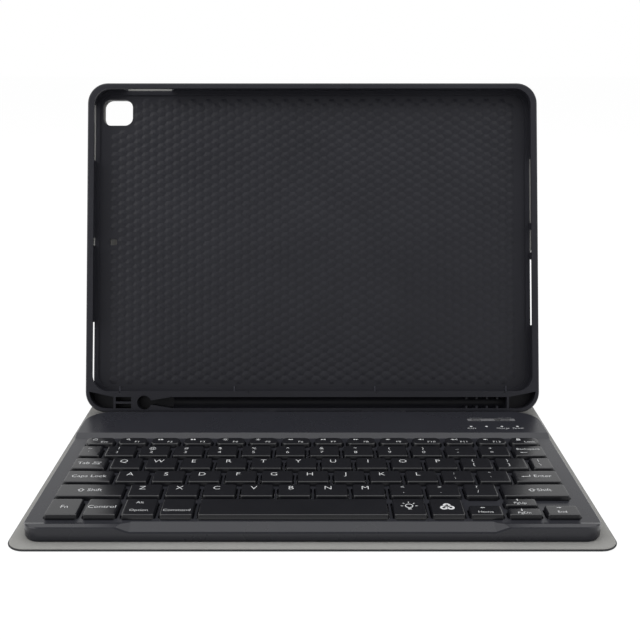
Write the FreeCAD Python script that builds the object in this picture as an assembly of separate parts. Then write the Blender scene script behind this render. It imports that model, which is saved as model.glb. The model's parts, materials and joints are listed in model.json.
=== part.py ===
import FreeCAD, Part
import math
import os

Vec = FreeCAD.Vector
X_AXIS = Vec(1, 0, 0)
Y_AXIS = Vec(0, 1, 0)
Z_AXIS = Vec(0, 0, 1)
ORIGIN = Vec(0, 0, 0)

# Driving dimensions, in millimetres and degrees. Y is counted from the cover's front edge until export.

# The tablet that the tray holds
TABLET_WIDTH = 250.6
TABLET_HEIGHT = 174.1
TABLET_THICKNESS = 7.5
TABLET_CORNER_R = 10.0
TABLET_FIT = 0.4

# Tray: a soft moulded shell with a lip, a stylus channel along its foot and openings for buttons
TRAY_SIDE_WALL = 2.75
TRAY_TOP_WALL = 2.2
TRAY_FLOOR = 1.6
TRAY_LIP = 1.5
TRAY_LIP_OVERHANG = 1.0
TRAY_CORNER_R = 11.5
TRAY_BACK_ROUND = 1.2
TRAY_FRONT_ROUND = 1.1
TRAY_RAIL_WIDTH = 2.4
TRAY_RAIL_HEIGHT = 0.8
TRAY_TILT = 18.2
FOOT_CLEARANCE = 0.3

# Stylus beam at the tray's foot
BEAM_HEIGHT = 11.0
BEAM_FLOOR = 1.4
CHANNEL_BORE = 8.4
CHANNEL_MOUTH = 6.4
TIP_NECK = 2.6
TIP_LENGTH = 10.0
TIP_FROM_SIDE = 37.5
CAP_POCKET_FROM_SIDE = 33.2
CAP_POCKET_D = 8.0
END_POCKET_WALL = 2.2
END_POCKET_RISE = 3.5
RIB = 1.2
RIB_BLOCK_FROM_SIDE = 16.5
RIB_BLOCK_LENGTH = 10.0
END_RIB_FROM_SIDE = 17.8
TOOTH_WIDTH = 1.1
TOOTH_REACH = 1.3
TOOTH_STEP = 5.8
TOOTH_COUNT = 4
SCALLOP_LENGTH = 25.0
SCALLOP_DEPTH = 1.6
SCALLOP_CENTRES = (-33.5, 40.5)
LIP_SLIT = 0.5
LIP_SLIT_STEP = 72.5

# Openings in the tray, centres counted from its top edge, and their lengths
LEFT_OPENINGS = ((26.6, 33.0), (90.1, 4.6), (153.6, 34.4))
RIGHT_OPENINGS = ((60.4, 37.8), (89.7, 13.4), (119.2, 38.0))
TOP_OPENING_FROM_SIDE = 33.85
TOP_OPENING_LENGTH = 32.0
OPENING_HEIGHT = 6.4
OPENING_WALL = 0.9
CAMERA_FROM_SIDE = 15.4
CAMERA_FROM_TOP = 14.8
CAMERA_WIDTH = 17.2
CAMERA_HEIGHT = 15.0
CAMERA_R = 4.6
CAMERA_COVER_MARGIN = 0.8
MIC_FROM_SIDE = 13.25
MIC_FROM_TOP = 90.1
MIC_WIDTH = 4.0
MIC_HEIGHT = 3.4

# Folio: skin with turned edges, stiff board and soft lining, joined by boardless folds
COVER_OVERHANG = 1.0
COVER_CORNER_R = 8.5
SPINE_WIDTH = 26.0
SPINE_SLACK = 7.3
SKIN = 0.5
BOARD = 0.6
LINING = 0.4
TURNED_EDGE = 2.0
BOARD_FIT = 0.2
LINING_INSET = 0.6
FOLD_REACH = 3.0
FOLD_SHEET = 0.9
FOLD_BEAD_R = 0.7
UPPER_FOLD_HEIGHT = 106.0
ADHESIVE = 0.4
ADHESIVE_INSET = 8.0

# Keyboard case
KEYBOARD_FROM_FRONT = 5.6
KEYBOARD_SIDE_LAND = 8.3
KEYBOARD_FRONT_R = 8.0
KEYBOARD_REAR_R = 14.0
BASE_PLATE = 1.0
BASE_INSET = 0.5
CASE_WALL = 1.6
DECK_THICKNESS = 1.2
DECK_ABOVE_BASE = 5.3
FRONT_LAND = 8.4
LIP_RISE = 0.6
LIP_FLAT = 3.4
LIP_SLOPE = 2.2
SCOOP_HALF_WIDTH = 77.5
SCOOP_END_SLOPE = 2.6
SCOOP_DROP = 1.7
SCOOP_DEPTH = 6.4
REAR_LAND = 3.7
BAR_SLOPE = 3.9
BAR_RISE = 1.6
BAR_FLAT = 29.2
CASE_EDGE_CHAMFER = 0.5
STAND_GAP = 8.7
RIM_WALL = 1.0
RIM_FIT = 0.15

# Keys
KEY_WIDTH = 14.2
KEY_DEPTH = 11.35
KEY_GAP = 2.7
KEY_ABOVE_DECK = 2.1
KEY_BELOW_DECK = 1.4
KEY_TAPER = 0.55
KEY_R = 0.9
KEY_FLATS = 1
WELL_FIT = 0.3
KEY_TRAVEL = 1.5
GRAVE_WIDTH = 10.0
BACKSPACE_WIDTH = 14.9
TAB_WIDTH = 15.6
CAPS_WIDTH = 21.3
LEFT_SHIFT_WIDTH = 29.6
MODIFIER_WIDTH = 13.8
MODIFIER_DEPTH = 14.7
ARROW_DEPTH = 8.4
FUNCTION_DEPTH = 7.6
FUNCTION_R = 2.2
FUNCTION_FLATS = 2

# Inside the keyboard
LIGHT_GUIDE = 0.4
SUPPORT_PLATE = 0.4
MEMBRANE = 0.3
SHEET_MARGIN = 1.8
DOME_BASE_R = 2.6
DOME_TOP_R = 1.4
DOME_FLATS = 6
DOME_GAP = 0.1
BATTERY_LENGTH = 90.0
BATTERY_WIDTH = 20.0
BATTERY_THICKNESS = 3.2
BATTERY_X = -15.0
CIRCUIT_LENGTH = 40.0
CIRCUIT_WIDTH = 24.0
CIRCUIT_THICKNESS = 0.8
CIRCUIT_POST = 0.6
CIRCUIT_POST_SIZE = 3.0
SOCKET_WIDTH = 7.5
SOCKET_LENGTH = 5.6
SOCKET_HEIGHT = 2.6
SOCKET_WALL = 0.4
SOCKET_FIT = 0.25
MAGNET_LENGTH = 40.0
MAGNET_WIDTH = 3.4
MAGNET_THICKNESS = 1.2
MAGNET_X = 60.0
MAGNET_FIT = 0.2

# Controls on the rear bar
BEZEL_LENGTH = 25.6
BEZEL_WIDTH = 3.0
BEZEL_THICKNESS = 0.5
BEZEL_FROM_REAR = 12.0
SWITCH_FROM_MIDDLE = 7.4
SWITCH_TRAVEL = 3.0
SWITCH_LENGTH = 4.6
SWITCH_WIDTH = 1.5
PAIR_FROM_MIDDLE = 8.1
PAIR_LENGTH = 4.2
PAIR_TRAVEL = 0.5
CONTROL_FIT = 0.25
CONTROL_PROUD = 0.3
INDICATOR_R = 0.7
INDICATOR_STEP = 8.2
INDICATOR_COUNT = 4
INDICATOR_FROM_REAR = 21.0
INDICATOR_FIT = 0.1

# Sizes that follow from the driving dimensions
PANEL = SKIN + BOARD + LINING
PANEL_MIDDLE = PANEL / 2

BAY_WIDTH = TABLET_WIDTH + TABLET_FIT
BAY_HEIGHT = TABLET_HEIGHT + TABLET_FIT
BAY_DEPTH = TABLET_THICKNESS + TABLET_FIT
TRAY_WIDTH = BAY_WIDTH + 2 * TRAY_SIDE_WALL
TRAY_HEIGHT = TRAY_TOP_WALL + BAY_HEIGHT + BEAM_HEIGHT
TRAY_DEPTH = TRAY_FLOOR + BAY_DEPTH + TRAY_LIP
TOP_OPENING_X = TOP_OPENING_FROM_SIDE - TRAY_WIDTH / 2
CAMERA_X = CAMERA_FROM_SIDE - TRAY_WIDTH / 2
MIC_X = MIC_FROM_SIDE - TRAY_WIDTH / 2

COVER_WIDTH = TRAY_WIDTH + 2 * COVER_OVERHANG
FRONT_DEPTH = COVER_OVERHANG + TRAY_HEIGHT + SPINE_SLACK

FIELD_WIDTH = GRAVE_WIDTH + 12 * KEY_WIDTH + BACKSPACE_WIDTH + 13 * KEY_GAP
KEYBOARD_WIDTH = FIELD_WIDTH + 2 * KEYBOARD_SIDE_LAND
FIELD_FRONT = KEYBOARD_FROM_FRONT + FRONT_LAND
ROW_STEP = KEY_DEPTH + KEY_GAP
SHIFT_ROW_Y = FIELD_FRONT + MODIFIER_DEPTH + KEY_GAP
FUNCTION_ROW_Y = SHIFT_ROW_Y + 4 * ROW_STEP
FIELD_REAR = FUNCTION_ROW_Y + FUNCTION_DEPTH
BAR_FRONT = FIELD_REAR + REAR_LAND
BAR_TOP_Y = BAR_FRONT + BAR_SLOPE
KEYBOARD_REAR = BAR_TOP_Y + BAR_FLAT

BASE_TOP = PANEL + BASE_PLATE
DECK_Z = BASE_TOP + DECK_ABOVE_BASE
BAR_Z = DECK_Z + BAR_RISE
LIP_Z = DECK_Z + LIP_RISE
KEY_TOP = DECK_Z + KEY_ABOVE_DECK
KEY_BOTTOM = DECK_Z - KEY_BELOW_DECK
LIGHT_GUIDE_TOP = BASE_TOP + LIGHT_GUIDE
PLATE_TOP = LIGHT_GUIDE_TOP + SUPPORT_PLATE
MEMBRANE_TOP = PLATE_TOP + MEMBRANE
CIRCUIT_Z = BASE_TOP + CIRCUIT_POST
CIRCUIT_TOP = CIRCUIT_Z + CIRCUIT_THICKNESS
CIRCUIT_REAR = KEYBOARD_REAR - CASE_WALL - RIM_WALL - 2 * RIM_FIT
CONTROL_END = KEYBOARD_WIDTH / 2 - KEYBOARD_REAR_R
CIRCUIT_X = CONTROL_END - CIRCUIT_LENGTH / 2
CONTROL_X = CONTROL_END - BEZEL_LENGTH / 2
CONTROL_Y = KEYBOARD_REAR - BEZEL_FROM_REAR
SWITCH_X = CONTROL_X + SWITCH_FROM_MIDDLE
PAIR_X = CONTROL_X - PAIR_FROM_MIDDLE
INDICATOR_Y = KEYBOARD_REAR - INDICATOR_FROM_REAR
RIM_INSIDE = CASE_WALL + RIM_FIT + RIM_WALL
NOSE_Z = BASE_TOP + MAGNET_THICKNESS + RIM_FIT
MAGNET_ROWS = (
    (KEYBOARD_FROM_FRONT + RIM_INSIDE + FIELD_FRONT - SHEET_MARGIN) / 2,
    BAR_FRONT + BAR_SLOPE / 2,
)

# The stand at rest: the tray leans back on its rear bottom edge, and two folds carry its back
TILT = math.radians(TRAY_TILT)
UP_TRAY = Vec(0, math.sin(TILT), math.cos(TILT))
BEHIND_TRAY = Vec(0, math.cos(TILT), -math.sin(TILT))
FOOT = Vec(0, KEYBOARD_REAR + STAND_GAP, 0) + BEHIND_TRAY * TRAY_DEPTH
FOOT.z = PANEL + FOOT_CLEARANCE
FRONT_FOLD = Vec(0, FRONT_DEPTH, PANEL_MIDDLE)
REAR_FOLD = FRONT_FOLD + Y_AXIS * SPINE_WIDTH
UPPER_FOLD = FOOT + UP_TRAY * UPPER_FOLD_HEIGHT + BEHIND_TRAY * (ADHESIVE + PANEL_MIDDLE)
PROP = UPPER_FOLD - REAR_FOLD
LOWER_BACK_LENGTH = PROP.Length
LOWER_BACK_ANGLE = math.degrees(math.atan2(PROP.z, PROP.y))
TRAY_ANGLE = 90 - TRAY_TILT
UPPER_BACK_LENGTH = TRAY_HEIGHT + COVER_OVERHANG - UPPER_FOLD_HEIGHT

# The whole case is centred front to back on its footprint
Y_SHIFT = -(REAR_FOLD.y + FOLD_BEAD_R) / 2


def save(name, shape):
    """Write one sub-part, moved so that the footprint's middle is the origin."""
    placed = shape.copy()
    placed.translate(Vec(0, Y_SHIFT, 0))
    placed.exportStep("parts/" + name + ".step")


def box(x0, x1, y0, y1, z0, z1):
    return Part.makeBox(x1 - x0, y1 - y0, z1 - z0, Vec(x0, y0, z0))


def outline(x0, x1, y0, y1, z, radii):
    """A rectangle's wire with its own radius at each corner: front left, front right, rear right, rear left."""
    corners = ((x0, y0, 1, 1), (x1, y0, -1, 1), (x1, y1, -1, -1), (x0, y1, 1, -1))
    edges = []
    ends = []
    for (x, y, sx, sy), r in zip(corners, radii):
        along_x = Vec(x + sx * r, y, z)
        along_y = Vec(x, y + sy * r, z)
        first, last = (along_y, along_x) if sx == sy else (along_x, along_y)
        ends.append((first, last))
        if r > 0:
            bend = r * (1 - math.sqrt(0.5))
            middle = Vec(x + sx * bend, y + sy * bend, z)
            edges.append(Part.Arc(first, middle, last).toShape())
    for here, there in zip(ends, ends[1:] + ends[:1]):
        edges.append(Part.LineSegment(here[1], there[0]).toShape())
    return Part.Wire(Part.__sortEdges__(edges))


def faceted(x0, x1, y0, y1, z, r, flats):
    """A rectangle's points whose corners are rounded off by a number of flats."""
    centres = ((x1 - r, y1 - r), (x0 + r, y1 - r), (x0 + r, y0 + r), (x1 - r, y0 + r))
    points = []
    for quarter, (x, y) in enumerate(centres):
        for step in range(flats + 1):
            angle = math.pi / 2 * (quarter + step / flats)
            points.append(Vec(x + r * math.cos(angle), y + r * math.sin(angle), z))
    return points


def frustum(lower, upper):
    """A solid of flat faces between two outlines with the same number of points."""
    rings = [Part.Face(Part.makePolygon(ring + ring[:1])) for ring in (lower, upper)]
    sides = []
    for a, b, c, d in zip(lower, lower[1:] + lower[:1], upper[1:] + upper[:1], upper):
        sides.append(Part.Face(Part.makePolygon([a, b, c, d, a])))
    return Part.Solid(Part.Shell(rings + sides))


def plate(x0, x1, y0, y1, z0, z1, radii=(0, 0, 0, 0)):
    """A flat plate with rounded corners."""
    return Part.Face(outline(x0, x1, y0, y1, z0, radii)).extrude(Vec(0, 0, z1 - z0))


def profile(points, x0, x1):
    """A Y-Z outline drawn out along X."""
    corners = [Vec(x0, y, z) for y, z in points]
    return Part.Face(Part.makePolygon(corners + corners[:1])).extrude(Vec(x1 - x0, 0, 0))


def post(x, y, r, z0, z1):
    return Part.makeCylinder(r, z1 - z0, Vec(x, y, z0))


def rod(y, z, r, x0, x1):
    return Part.makeCylinder(r, x1 - x0, Vec(x0, y, z), X_AXIS)


def group(solids):
    return Part.makeCompound(solids)


def turned(shape, hinge, angle):
    """Turn a panel drawn flat along +Y from its fold up by an angle, with the fold on its axis."""
    moved = shape.copy()
    moved.rotate(ORIGIN, X_AXIS, angle)
    moved.translate(hinge)
    return moved


def on_tray(shape):
    """Stand up a piece drawn flat: Y up the tray from its foot, Z from its back to its front."""
    return turned(shape, FOOT, TRAY_ANGLE)


def inset_radii(radii, inset):
    return tuple(max(r - inset, 0) for r in radii)


def camera_window(margin, y_from, z0, z1):
    """The camera's rounded window, where y_from is the height on the tray that Y is counted from."""
    half_width = CAMERA_WIDTH / 2 + margin
    half_height = CAMERA_HEIGHT / 2 + margin
    y = TRAY_HEIGHT - CAMERA_FROM_TOP - y_from
    radii = (CAMERA_R + margin,) * 4
    return plate(CAMERA_X - half_width, CAMERA_X + half_width, y - half_height, y + half_height, z0, z1, radii)


def panel_layers(y0, y1, radii, window=None, pockets=()):
    """Skin with turned edges, board in its pocket and lining of one stiff panel, about its middle plane."""
    half = COVER_WIDTH / 2
    bottom = -PANEL_MIDDLE
    board_z = bottom + SKIN
    lining_z = board_z + BOARD
    edge = TURNED_EDGE
    pocket = plate(
        -half + edge, half - edge, y0 + edge, y1 - edge, board_z, lining_z, inset_radii(radii, edge)
    )
    skin = plate(-half, half, y0, y1, bottom, lining_z, radii).cut(pocket)
    rim = edge + BOARD_FIT
    board = plate(
        -half + rim, half - rim, y0 + rim, y1 - rim, board_z, lining_z, inset_radii(radii, rim)
    )
    inset = LINING_INSET
    lining = plate(
        -half + inset, half - inset, y0, y1 - inset * bool(radii[2]), lining_z, PANEL_MIDDLE,
        inset_radii(radii, inset),
    )
    if radii[0]:
        lining = lining.cut(box(-half, half, y0, y0 + inset, lining_z, PANEL_MIDDLE))
    for hole in pockets:
        board = board.cut(hole)
    if window:
        skin, board, lining = (layer.cut(window) for layer in (skin, board, lining))
    return {"skin": skin, "board": board, "lining": lining}


def save_panel(name, layers, hinge, angle):
    for layer, shape in layers.items():
        save(name + "_" + layer, turned(shape, hinge, angle))


def magnet_bars(fit, z0, z1):
    """Four bars that hold the keyboard, one near each of its corners."""
    length = MAGNET_LENGTH / 2 + fit
    width = MAGNET_WIDTH / 2 + fit
    return [
        box(x - length, x + length, y - width, y + width, z0, z1)
        for x in (-MAGNET_X, MAGNET_X)
        for y in MAGNET_ROWS
    ]


def fold(hinge, angle_before, angle_after):
    """A boardless strip between two panels, with its pressed bead on the fold's axis."""
    half = COVER_WIDTH / 2
    sheet = FOLD_SHEET / 2
    leg_before = box(-half, half, -FOLD_REACH, 0, -sheet, sheet)
    leg_after = box(-half, half, 0, FOLD_REACH, -sheet, sheet)
    bead = rod(hinge.y, hinge.z, FOLD_BEAD_R, -half, half)
    legs = (turned(leg_before, hinge, angle_before), turned(leg_after, hinge, angle_after))
    return bead.fuse(list(legs)).removeSplitter()


def folio():
    corner = COVER_CORNER_R
    level = Vec(0, 0, PANEL_MIDDLE)
    board_z = SKIN - PANEL_MIDDLE
    pockets = magnet_bars(MAGNET_FIT, board_z, board_z + BOARD)
    front = panel_layers(0, FRONT_DEPTH - FOLD_REACH, (corner, corner, 0, 0), pockets=pockets)
    save_panel("front_cover", front, level, 0)
    save("front_cover_magnets", group(magnet_bars(0, SKIN, SKIN + BOARD)))

    spine = panel_layers(FOLD_REACH, SPINE_WIDTH - FOLD_REACH, (0, 0, 0, 0))
    save_panel("spine", spine, FRONT_FOLD, 0)

    lower = panel_layers(FOLD_REACH, LOWER_BACK_LENGTH - FOLD_REACH, (0, 0, 0, 0))
    save_panel("lower_back", lower, REAR_FOLD, LOWER_BACK_ANGLE)

    window = camera_window(CAMERA_COVER_MARGIN, UPPER_FOLD_HEIGHT, -PANEL, PANEL)
    upper = panel_layers(FOLD_REACH, UPPER_BACK_LENGTH, (0, 0, corner, corner), window=window)
    save_panel("upper_back", upper, UPPER_FOLD, TRAY_ANGLE)

    save("front_fold", fold(FRONT_FOLD, 0, 0))
    save("rear_fold", fold(REAR_FOLD, 0, LOWER_BACK_ANGLE))
    save("upper_fold", fold(UPPER_FOLD, LOWER_BACK_ANGLE, TRAY_ANGLE))


def flared(inner, wall, z0, z1):
    """An opening's section through a wall that runs out from inner: thin inside, and flared out to the back."""
    return [
        (inner - TRAY_RAIL_WIDTH, z0),
        (inner, z0),
        (inner + OPENING_WALL, -TRAY_FLOOR),
        (inner + 2 * wall, -TRAY_FLOOR),
        (inner + 2 * wall, z1),
        (inner - TRAY_RAIL_WIDTH, z1),
    ]


def tray_openings():
    """Cutters for the buttons, the speakers and the plug in the tray's walls."""
    middle = TRAY_FLOOR + BAY_DEPTH / 2
    z0 = middle - OPENING_HEIGHT / 2
    z1 = middle + OPENING_HEIGHT / 2
    section = flared(BAY_WIDTH / 2, TRAY_SIDE_WALL, z0, z1)
    cutters = []
    for sign, openings in ((-1, LEFT_OPENINGS), (1, RIGHT_OPENINGS)):
        for from_top, length in openings:
            low = TRAY_HEIGHT - from_top - length / 2
            corners = [Vec(sign * x, low, z) for x, z in section]
            cutters.append(Part.Face(Part.makePolygon(corners + corners[:1])).extrude(Y_AXIS * length))
    half = TOP_OPENING_LENGTH / 2
    flat = half - OPENING_HEIGHT / 2
    inside_top = TRAY_HEIGHT - TRAY_TOP_WALL
    corners = [
        Vec(TOP_OPENING_X - half, inside_top, z1),
        Vec(TOP_OPENING_X - flat, inside_top, z0),
        Vec(TOP_OPENING_X + flat, inside_top, z0),
        Vec(TOP_OPENING_X + half, inside_top, z1),
    ]
    cutters.append(Part.Face(Part.makePolygon(corners + corners[:1])).extrude(Y_AXIS * 2 * TRAY_TOP_WALL))
    section = flared(inside_top, TRAY_TOP_WALL, z0, z1)
    cutters.append(profile(section, TOP_OPENING_X - flat, TOP_OPENING_X + flat))
    cutters.append(camera_window(0, 0, -TRAY_FLOOR, TRAY_DEPTH))
    y = TRAY_HEIGHT - MIC_FROM_TOP
    width = MIC_WIDTH / 2
    height = MIC_HEIGHT / 2
    cutters.append(box(MIC_X - width, MIC_X + width, y - height, y + height, -TRAY_FLOOR, 2 * TRAY_FLOOR))
    return cutters


def stylus_channel():
    """Cutters of the foot's beam, from left to right: end pocket, ribbed block, cap pocket, tip neck, channel."""
    side = TRAY_WIDTH / 2
    y = BEAM_HEIGHT / 2
    top = TRAY_DEPTH + TRAY_LIP
    mouth = CHANNEL_MOUTH / 2
    bore_z = BEAM_FLOOR + CHANNEL_BORE / 2
    tip_x = -side + TIP_FROM_SIDE
    channel_x = tip_x + TIP_LENGTH
    end_x = side - END_RIB_FROM_SIDE - RIB / 2
    channel = rod(y, bore_z, CHANNEL_BORE / 2, channel_x, end_x)
    throat = box(channel_x, end_x, y - mouth, y + mouth, bore_z, top)

    neck = TIP_NECK / 2
    corners = [
        Vec(tip_x, y - neck, BEAM_FLOOR),
        Vec(channel_x + RIB, y - mouth, BEAM_FLOOR),
        Vec(channel_x + RIB, y + mouth, BEAM_FLOOR),
        Vec(tip_x, y + neck, BEAM_FLOOR),
    ]
    tip = Part.Face(Part.makePolygon(corners + corners[:1])).extrude(Z_AXIS * (top - BEAM_FLOOR))
    cap_x = -side + CAP_POCKET_FROM_SIDE
    cap = post(cap_x, y, CAP_POCKET_D / 2, BEAM_FLOOR, top)
    link = box(cap_x, tip_x + RIB, y - neck, y + neck, BEAM_FLOOR, top)

    wall = END_POCKET_WALL
    inside = plate(
        -side + wall, side - wall, wall, TRAY_HEIGHT - wall, BEAM_FLOOR, top, (TRAY_CORNER_R - wall,) * 4
    )
    block_x = -side + RIB_BLOCK_FROM_SIDE
    ends = []
    for edge, near in ((-side, block_x - RIB / 2), (side, end_x + RIB)):
        corners = [
            Vec(edge, 0, BEAM_FLOOR),
            Vec(near, 0, BEAM_FLOOR),
            Vec(near, y + mouth, BEAM_FLOOR),
            Vec(edge, y + mouth + END_POCKET_RISE, BEAM_FLOOR),
        ]
        pocket = Part.Face(Part.makePolygon(corners + corners[:1])).extrude(Z_AXIS * (top - BEAM_FLOOR))
        ends.append(pocket.common(inside))
    block_end = block_x + RIB_BLOCK_LENGTH
    upper = box(block_x + RIB / 2, block_end - RIB / 2, y + RIB / 2, y + mouth, BEAM_FLOOR, top)
    lower = box(block_x + RIB / 2, block_end - RIB / 2, y - mouth, y - RIB / 2, BEAM_FLOOR, top)
    return [channel, throat, tip, cap, link, upper, lower] + ends


def channel_teeth():
    """Opposed teeth that grip the stylus, in pairs beside the right end rib."""
    side = TRAY_WIDTH / 2
    y = BEAM_HEIGHT / 2
    half = CHANNEL_MOUTH / 2
    sunk = (CHANNEL_BORE - CHANNEL_MOUTH) / 2
    last_x = side - END_RIB_FROM_SIDE - TOOTH_STEP
    teeth = []
    for number in range(TOOTH_COUNT):
        x = last_x - number * TOOTH_STEP
        for sign in (-1, 1):
            near, far = sorted((y + sign * (half + sunk), y + sign * (half - TOOTH_REACH)))
            teeth.append(
                box(x - TOOTH_WIDTH / 2, x + TOOTH_WIDTH / 2, near, far, BEAM_FLOOR + sunk, TRAY_DEPTH - TRAY_LIP)
            )
    return teeth


def foot_scallops():
    """Shallow finger cuts in the front edge of the channel's outer wall."""
    outer_wall = (BEAM_HEIGHT - CHANNEL_MOUTH) / 2
    cutters = []
    for x in SCALLOP_CENTRES:
        half = SCALLOP_LENGTH / 2
        corners = [
            Vec(x - half, -outer_wall, TRAY_DEPTH),
            Vec(x - half + 2 * SCALLOP_DEPTH, -outer_wall, TRAY_DEPTH - SCALLOP_DEPTH),
            Vec(x + half - 2 * SCALLOP_DEPTH, -outer_wall, TRAY_DEPTH - SCALLOP_DEPTH),
            Vec(x + half, -outer_wall, TRAY_DEPTH),
        ]
        cutters.append(
            Part.Face(Part.makePolygon(corners + corners[:1])).extrude(Y_AXIS * 3 * outer_wall)
        )
    return cutters


def tablet_tray():
    """The tray drawn flat on its back, with its foot along Y = 0."""
    side = TRAY_WIDTH / 2
    shell = plate(-side, side, 0, TRAY_HEIGHT, 0, TRAY_DEPTH, (TRAY_CORNER_R,) * 4)
    rims = {0: TRAY_BACK_ROUND, TRAY_DEPTH: TRAY_FRONT_ROUND}
    for z, radius in rims.items():
        edges = [e for e in shell.Edges if all(abs(v.Point.z - z) < 1e-6 for v in e.Vertexes)]
        shell = shell.makeFillet(radius, edges)

    half = BAY_WIDTH / 2
    low = BEAM_HEIGHT
    high = low + BAY_HEIGHT
    bay_top = TRAY_FLOOR + BAY_DEPTH
    over = TRAY_LIP_OVERHANG
    rail = TRAY_RAIL_WIDTH
    radii = (TABLET_CORNER_R,) * 4
    bay = plate(-half, half, low, high, TRAY_FLOOR + TRAY_RAIL_HEIGHT, bay_top, radii)
    well = plate(
        -half + rail, half - rail, low + rail, high - rail, TRAY_FLOOR, bay_top, inset_radii(radii, rail)
    )
    mouth = plate(
        -half + over, half - over, low + over, high - over, TRAY_FLOOR + BAY_DEPTH / 2, TRAY_DEPTH + TRAY_LIP,
        inset_radii(radii, over),
    )
    slits = [
        box(x - LIP_SLIT / 2, x + LIP_SLIT / 2, low, low + over, bay_top, TRAY_DEPTH + TRAY_LIP)
        for x in (-1.5 * LIP_SLIT_STEP, -0.5 * LIP_SLIT_STEP, 0.5 * LIP_SLIT_STEP, 1.5 * LIP_SLIT_STEP)
    ]
    hollows = [bay, well, mouth] + slits + tray_openings() + stylus_channel() + foot_scallops()
    return shell.cut(hollows).fuse(channel_teeth()).removeSplitter()


def tray_adhesive():
    """The film that bonds the tray's upper back to the panel behind it."""
    side = TRAY_WIDTH / 2 - ADHESIVE_INSET
    low = UPPER_FOLD_HEIGHT + FOLD_REACH + ADHESIVE_INSET
    high = TRAY_HEIGHT - ADHESIVE_INSET / 2
    film = plate(-side, side, low, high, -ADHESIVE, 0)
    return film.cut(camera_window(CAMERA_COVER_MARGIN, 0, -PANEL, PANEL))


class Key:
    """One key's top face and the rounding of its corners."""

    def __init__(self, x, y, width, depth, radius=KEY_R, flats=KEY_FLATS):
        self.x = x
        self.y = y
        self.width = width
        self.depth = depth
        self.radius = radius
        self.flats = flats

    def points(self, spread, z):
        return faceted(
            self.x - spread, self.x + self.width + spread, self.y - spread, self.y + self.depth + spread, z,
            self.radius + spread, self.flats,
        )

    def cap(self):
        return frustum(self.points(KEY_TAPER, KEY_BOTTOM), self.points(0, KEY_TOP))

    def well(self):
        spread = KEY_TAPER + WELL_FIT
        return frustum(self.points(spread, KEY_BOTTOM - KEY_TRAVEL), self.points(spread, KEY_TOP))

    def dome(self):
        x = self.x + self.width / 2
        y = self.y + self.depth / 2
        turns = [2 * math.pi * step / DOME_FLATS for step in range(DOME_FLATS)]
        rings = [
            [Vec(x + r * math.cos(turn), y + r * math.sin(turn), z) for turn in turns]
            for r, z in ((DOME_BASE_R, MEMBRANE_TOP), (DOME_TOP_R, KEY_BOTTOM - DOME_GAP))
        ]
        return frustum(*rings)


def row_of_keys(widths, y, depth, radius=KEY_R, flats=KEY_FLATS):
    """Keys side by side from the field's left edge, where None takes the width that is left."""
    spare = FIELD_WIDTH - KEY_GAP * (len(widths) - 1) - sum(w for w in widths if w)
    keys = []
    x = -FIELD_WIDTH / 2
    for width in widths:
        width = width or spare
        keys.append(Key(x, y, width, depth, radius, flats))
        x += width + KEY_GAP
    return keys


def key_layout():
    """Every key by the node that it belongs to."""
    function_width = (FIELD_WIDTH - 13 * KEY_GAP) / 14
    functions = row_of_keys(
        [function_width] * 14, FUNCTION_ROW_Y, FUNCTION_DEPTH, FUNCTION_R, FUNCTION_FLATS
    )
    numbers = row_of_keys([GRAVE_WIDTH] + [KEY_WIDTH] * 12 + [None], SHIFT_ROW_Y + 3 * ROW_STEP, KEY_DEPTH)
    uppers = row_of_keys([TAB_WIDTH] + [KEY_WIDTH] * 12 + [None], SHIFT_ROW_Y + 2 * ROW_STEP, KEY_DEPTH)
    homes = row_of_keys([CAPS_WIDTH] + [KEY_WIDTH] * 11 + [None], SHIFT_ROW_Y + ROW_STEP, KEY_DEPTH)
    lowers = row_of_keys([LEFT_SHIFT_WIDTH] + [KEY_WIDTH] * 10 + [None], SHIFT_ROW_Y, KEY_DEPTH)
    modifiers = row_of_keys([MODIFIER_WIDTH] * 4 + [None] + [MODIFIER_WIDTH] * 5, FIELD_FRONT, MODIFIER_DEPTH)
    left, middle, right = modifiers[7:]
    left.depth = ARROW_DEPTH
    right.depth = ARROW_DEPTH
    half_depth = (MODIFIER_DEPTH - 2 * (KEY_TAPER + WELL_FIT) - RIB) / 2
    down = Key(middle.x, middle.y, middle.width, half_depth)
    up = Key(middle.x, middle.y + MODIFIER_DEPTH - half_depth, middle.width, half_depth)
    names = ("fn", "control", "option", "command", "space", "backlight", "colour")
    layout = {"key_" + name: [key] for name, key in zip(names, modifiers)}
    layout.update(
        {
            "key_left": [left],
            "key_down": [down],
            "key_up": [up],
            "key_right": [right],
            "function_row_keys": functions,
            "number_row_keys": numbers[:-1],
            "key_backspace": numbers[-1:],
            "key_tab": uppers[:1],
            "upper_letter_keys": uppers[1:],
            "key_caps_lock": homes[:1],
            "home_letter_keys": homes[1:-1],
            "key_enter": homes[-1:],
            "key_left_shift": lowers[:1],
            "lower_letter_keys": lowers[1:-1],
            "key_right_shift": lowers[-1:],
        }
    )
    return layout


def footprint(inset, z0, z1):
    """The keyboard's plan, drawn in by an inset."""
    half = KEYBOARD_WIDTH / 2 - inset
    radii = inset_radii((KEYBOARD_FRONT_R,) * 2 + (KEYBOARD_REAR_R,) * 2, inset)
    return plate(-half, half, KEYBOARD_FROM_FRONT + inset, KEYBOARD_REAR - inset, z0, z1, radii)


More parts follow.
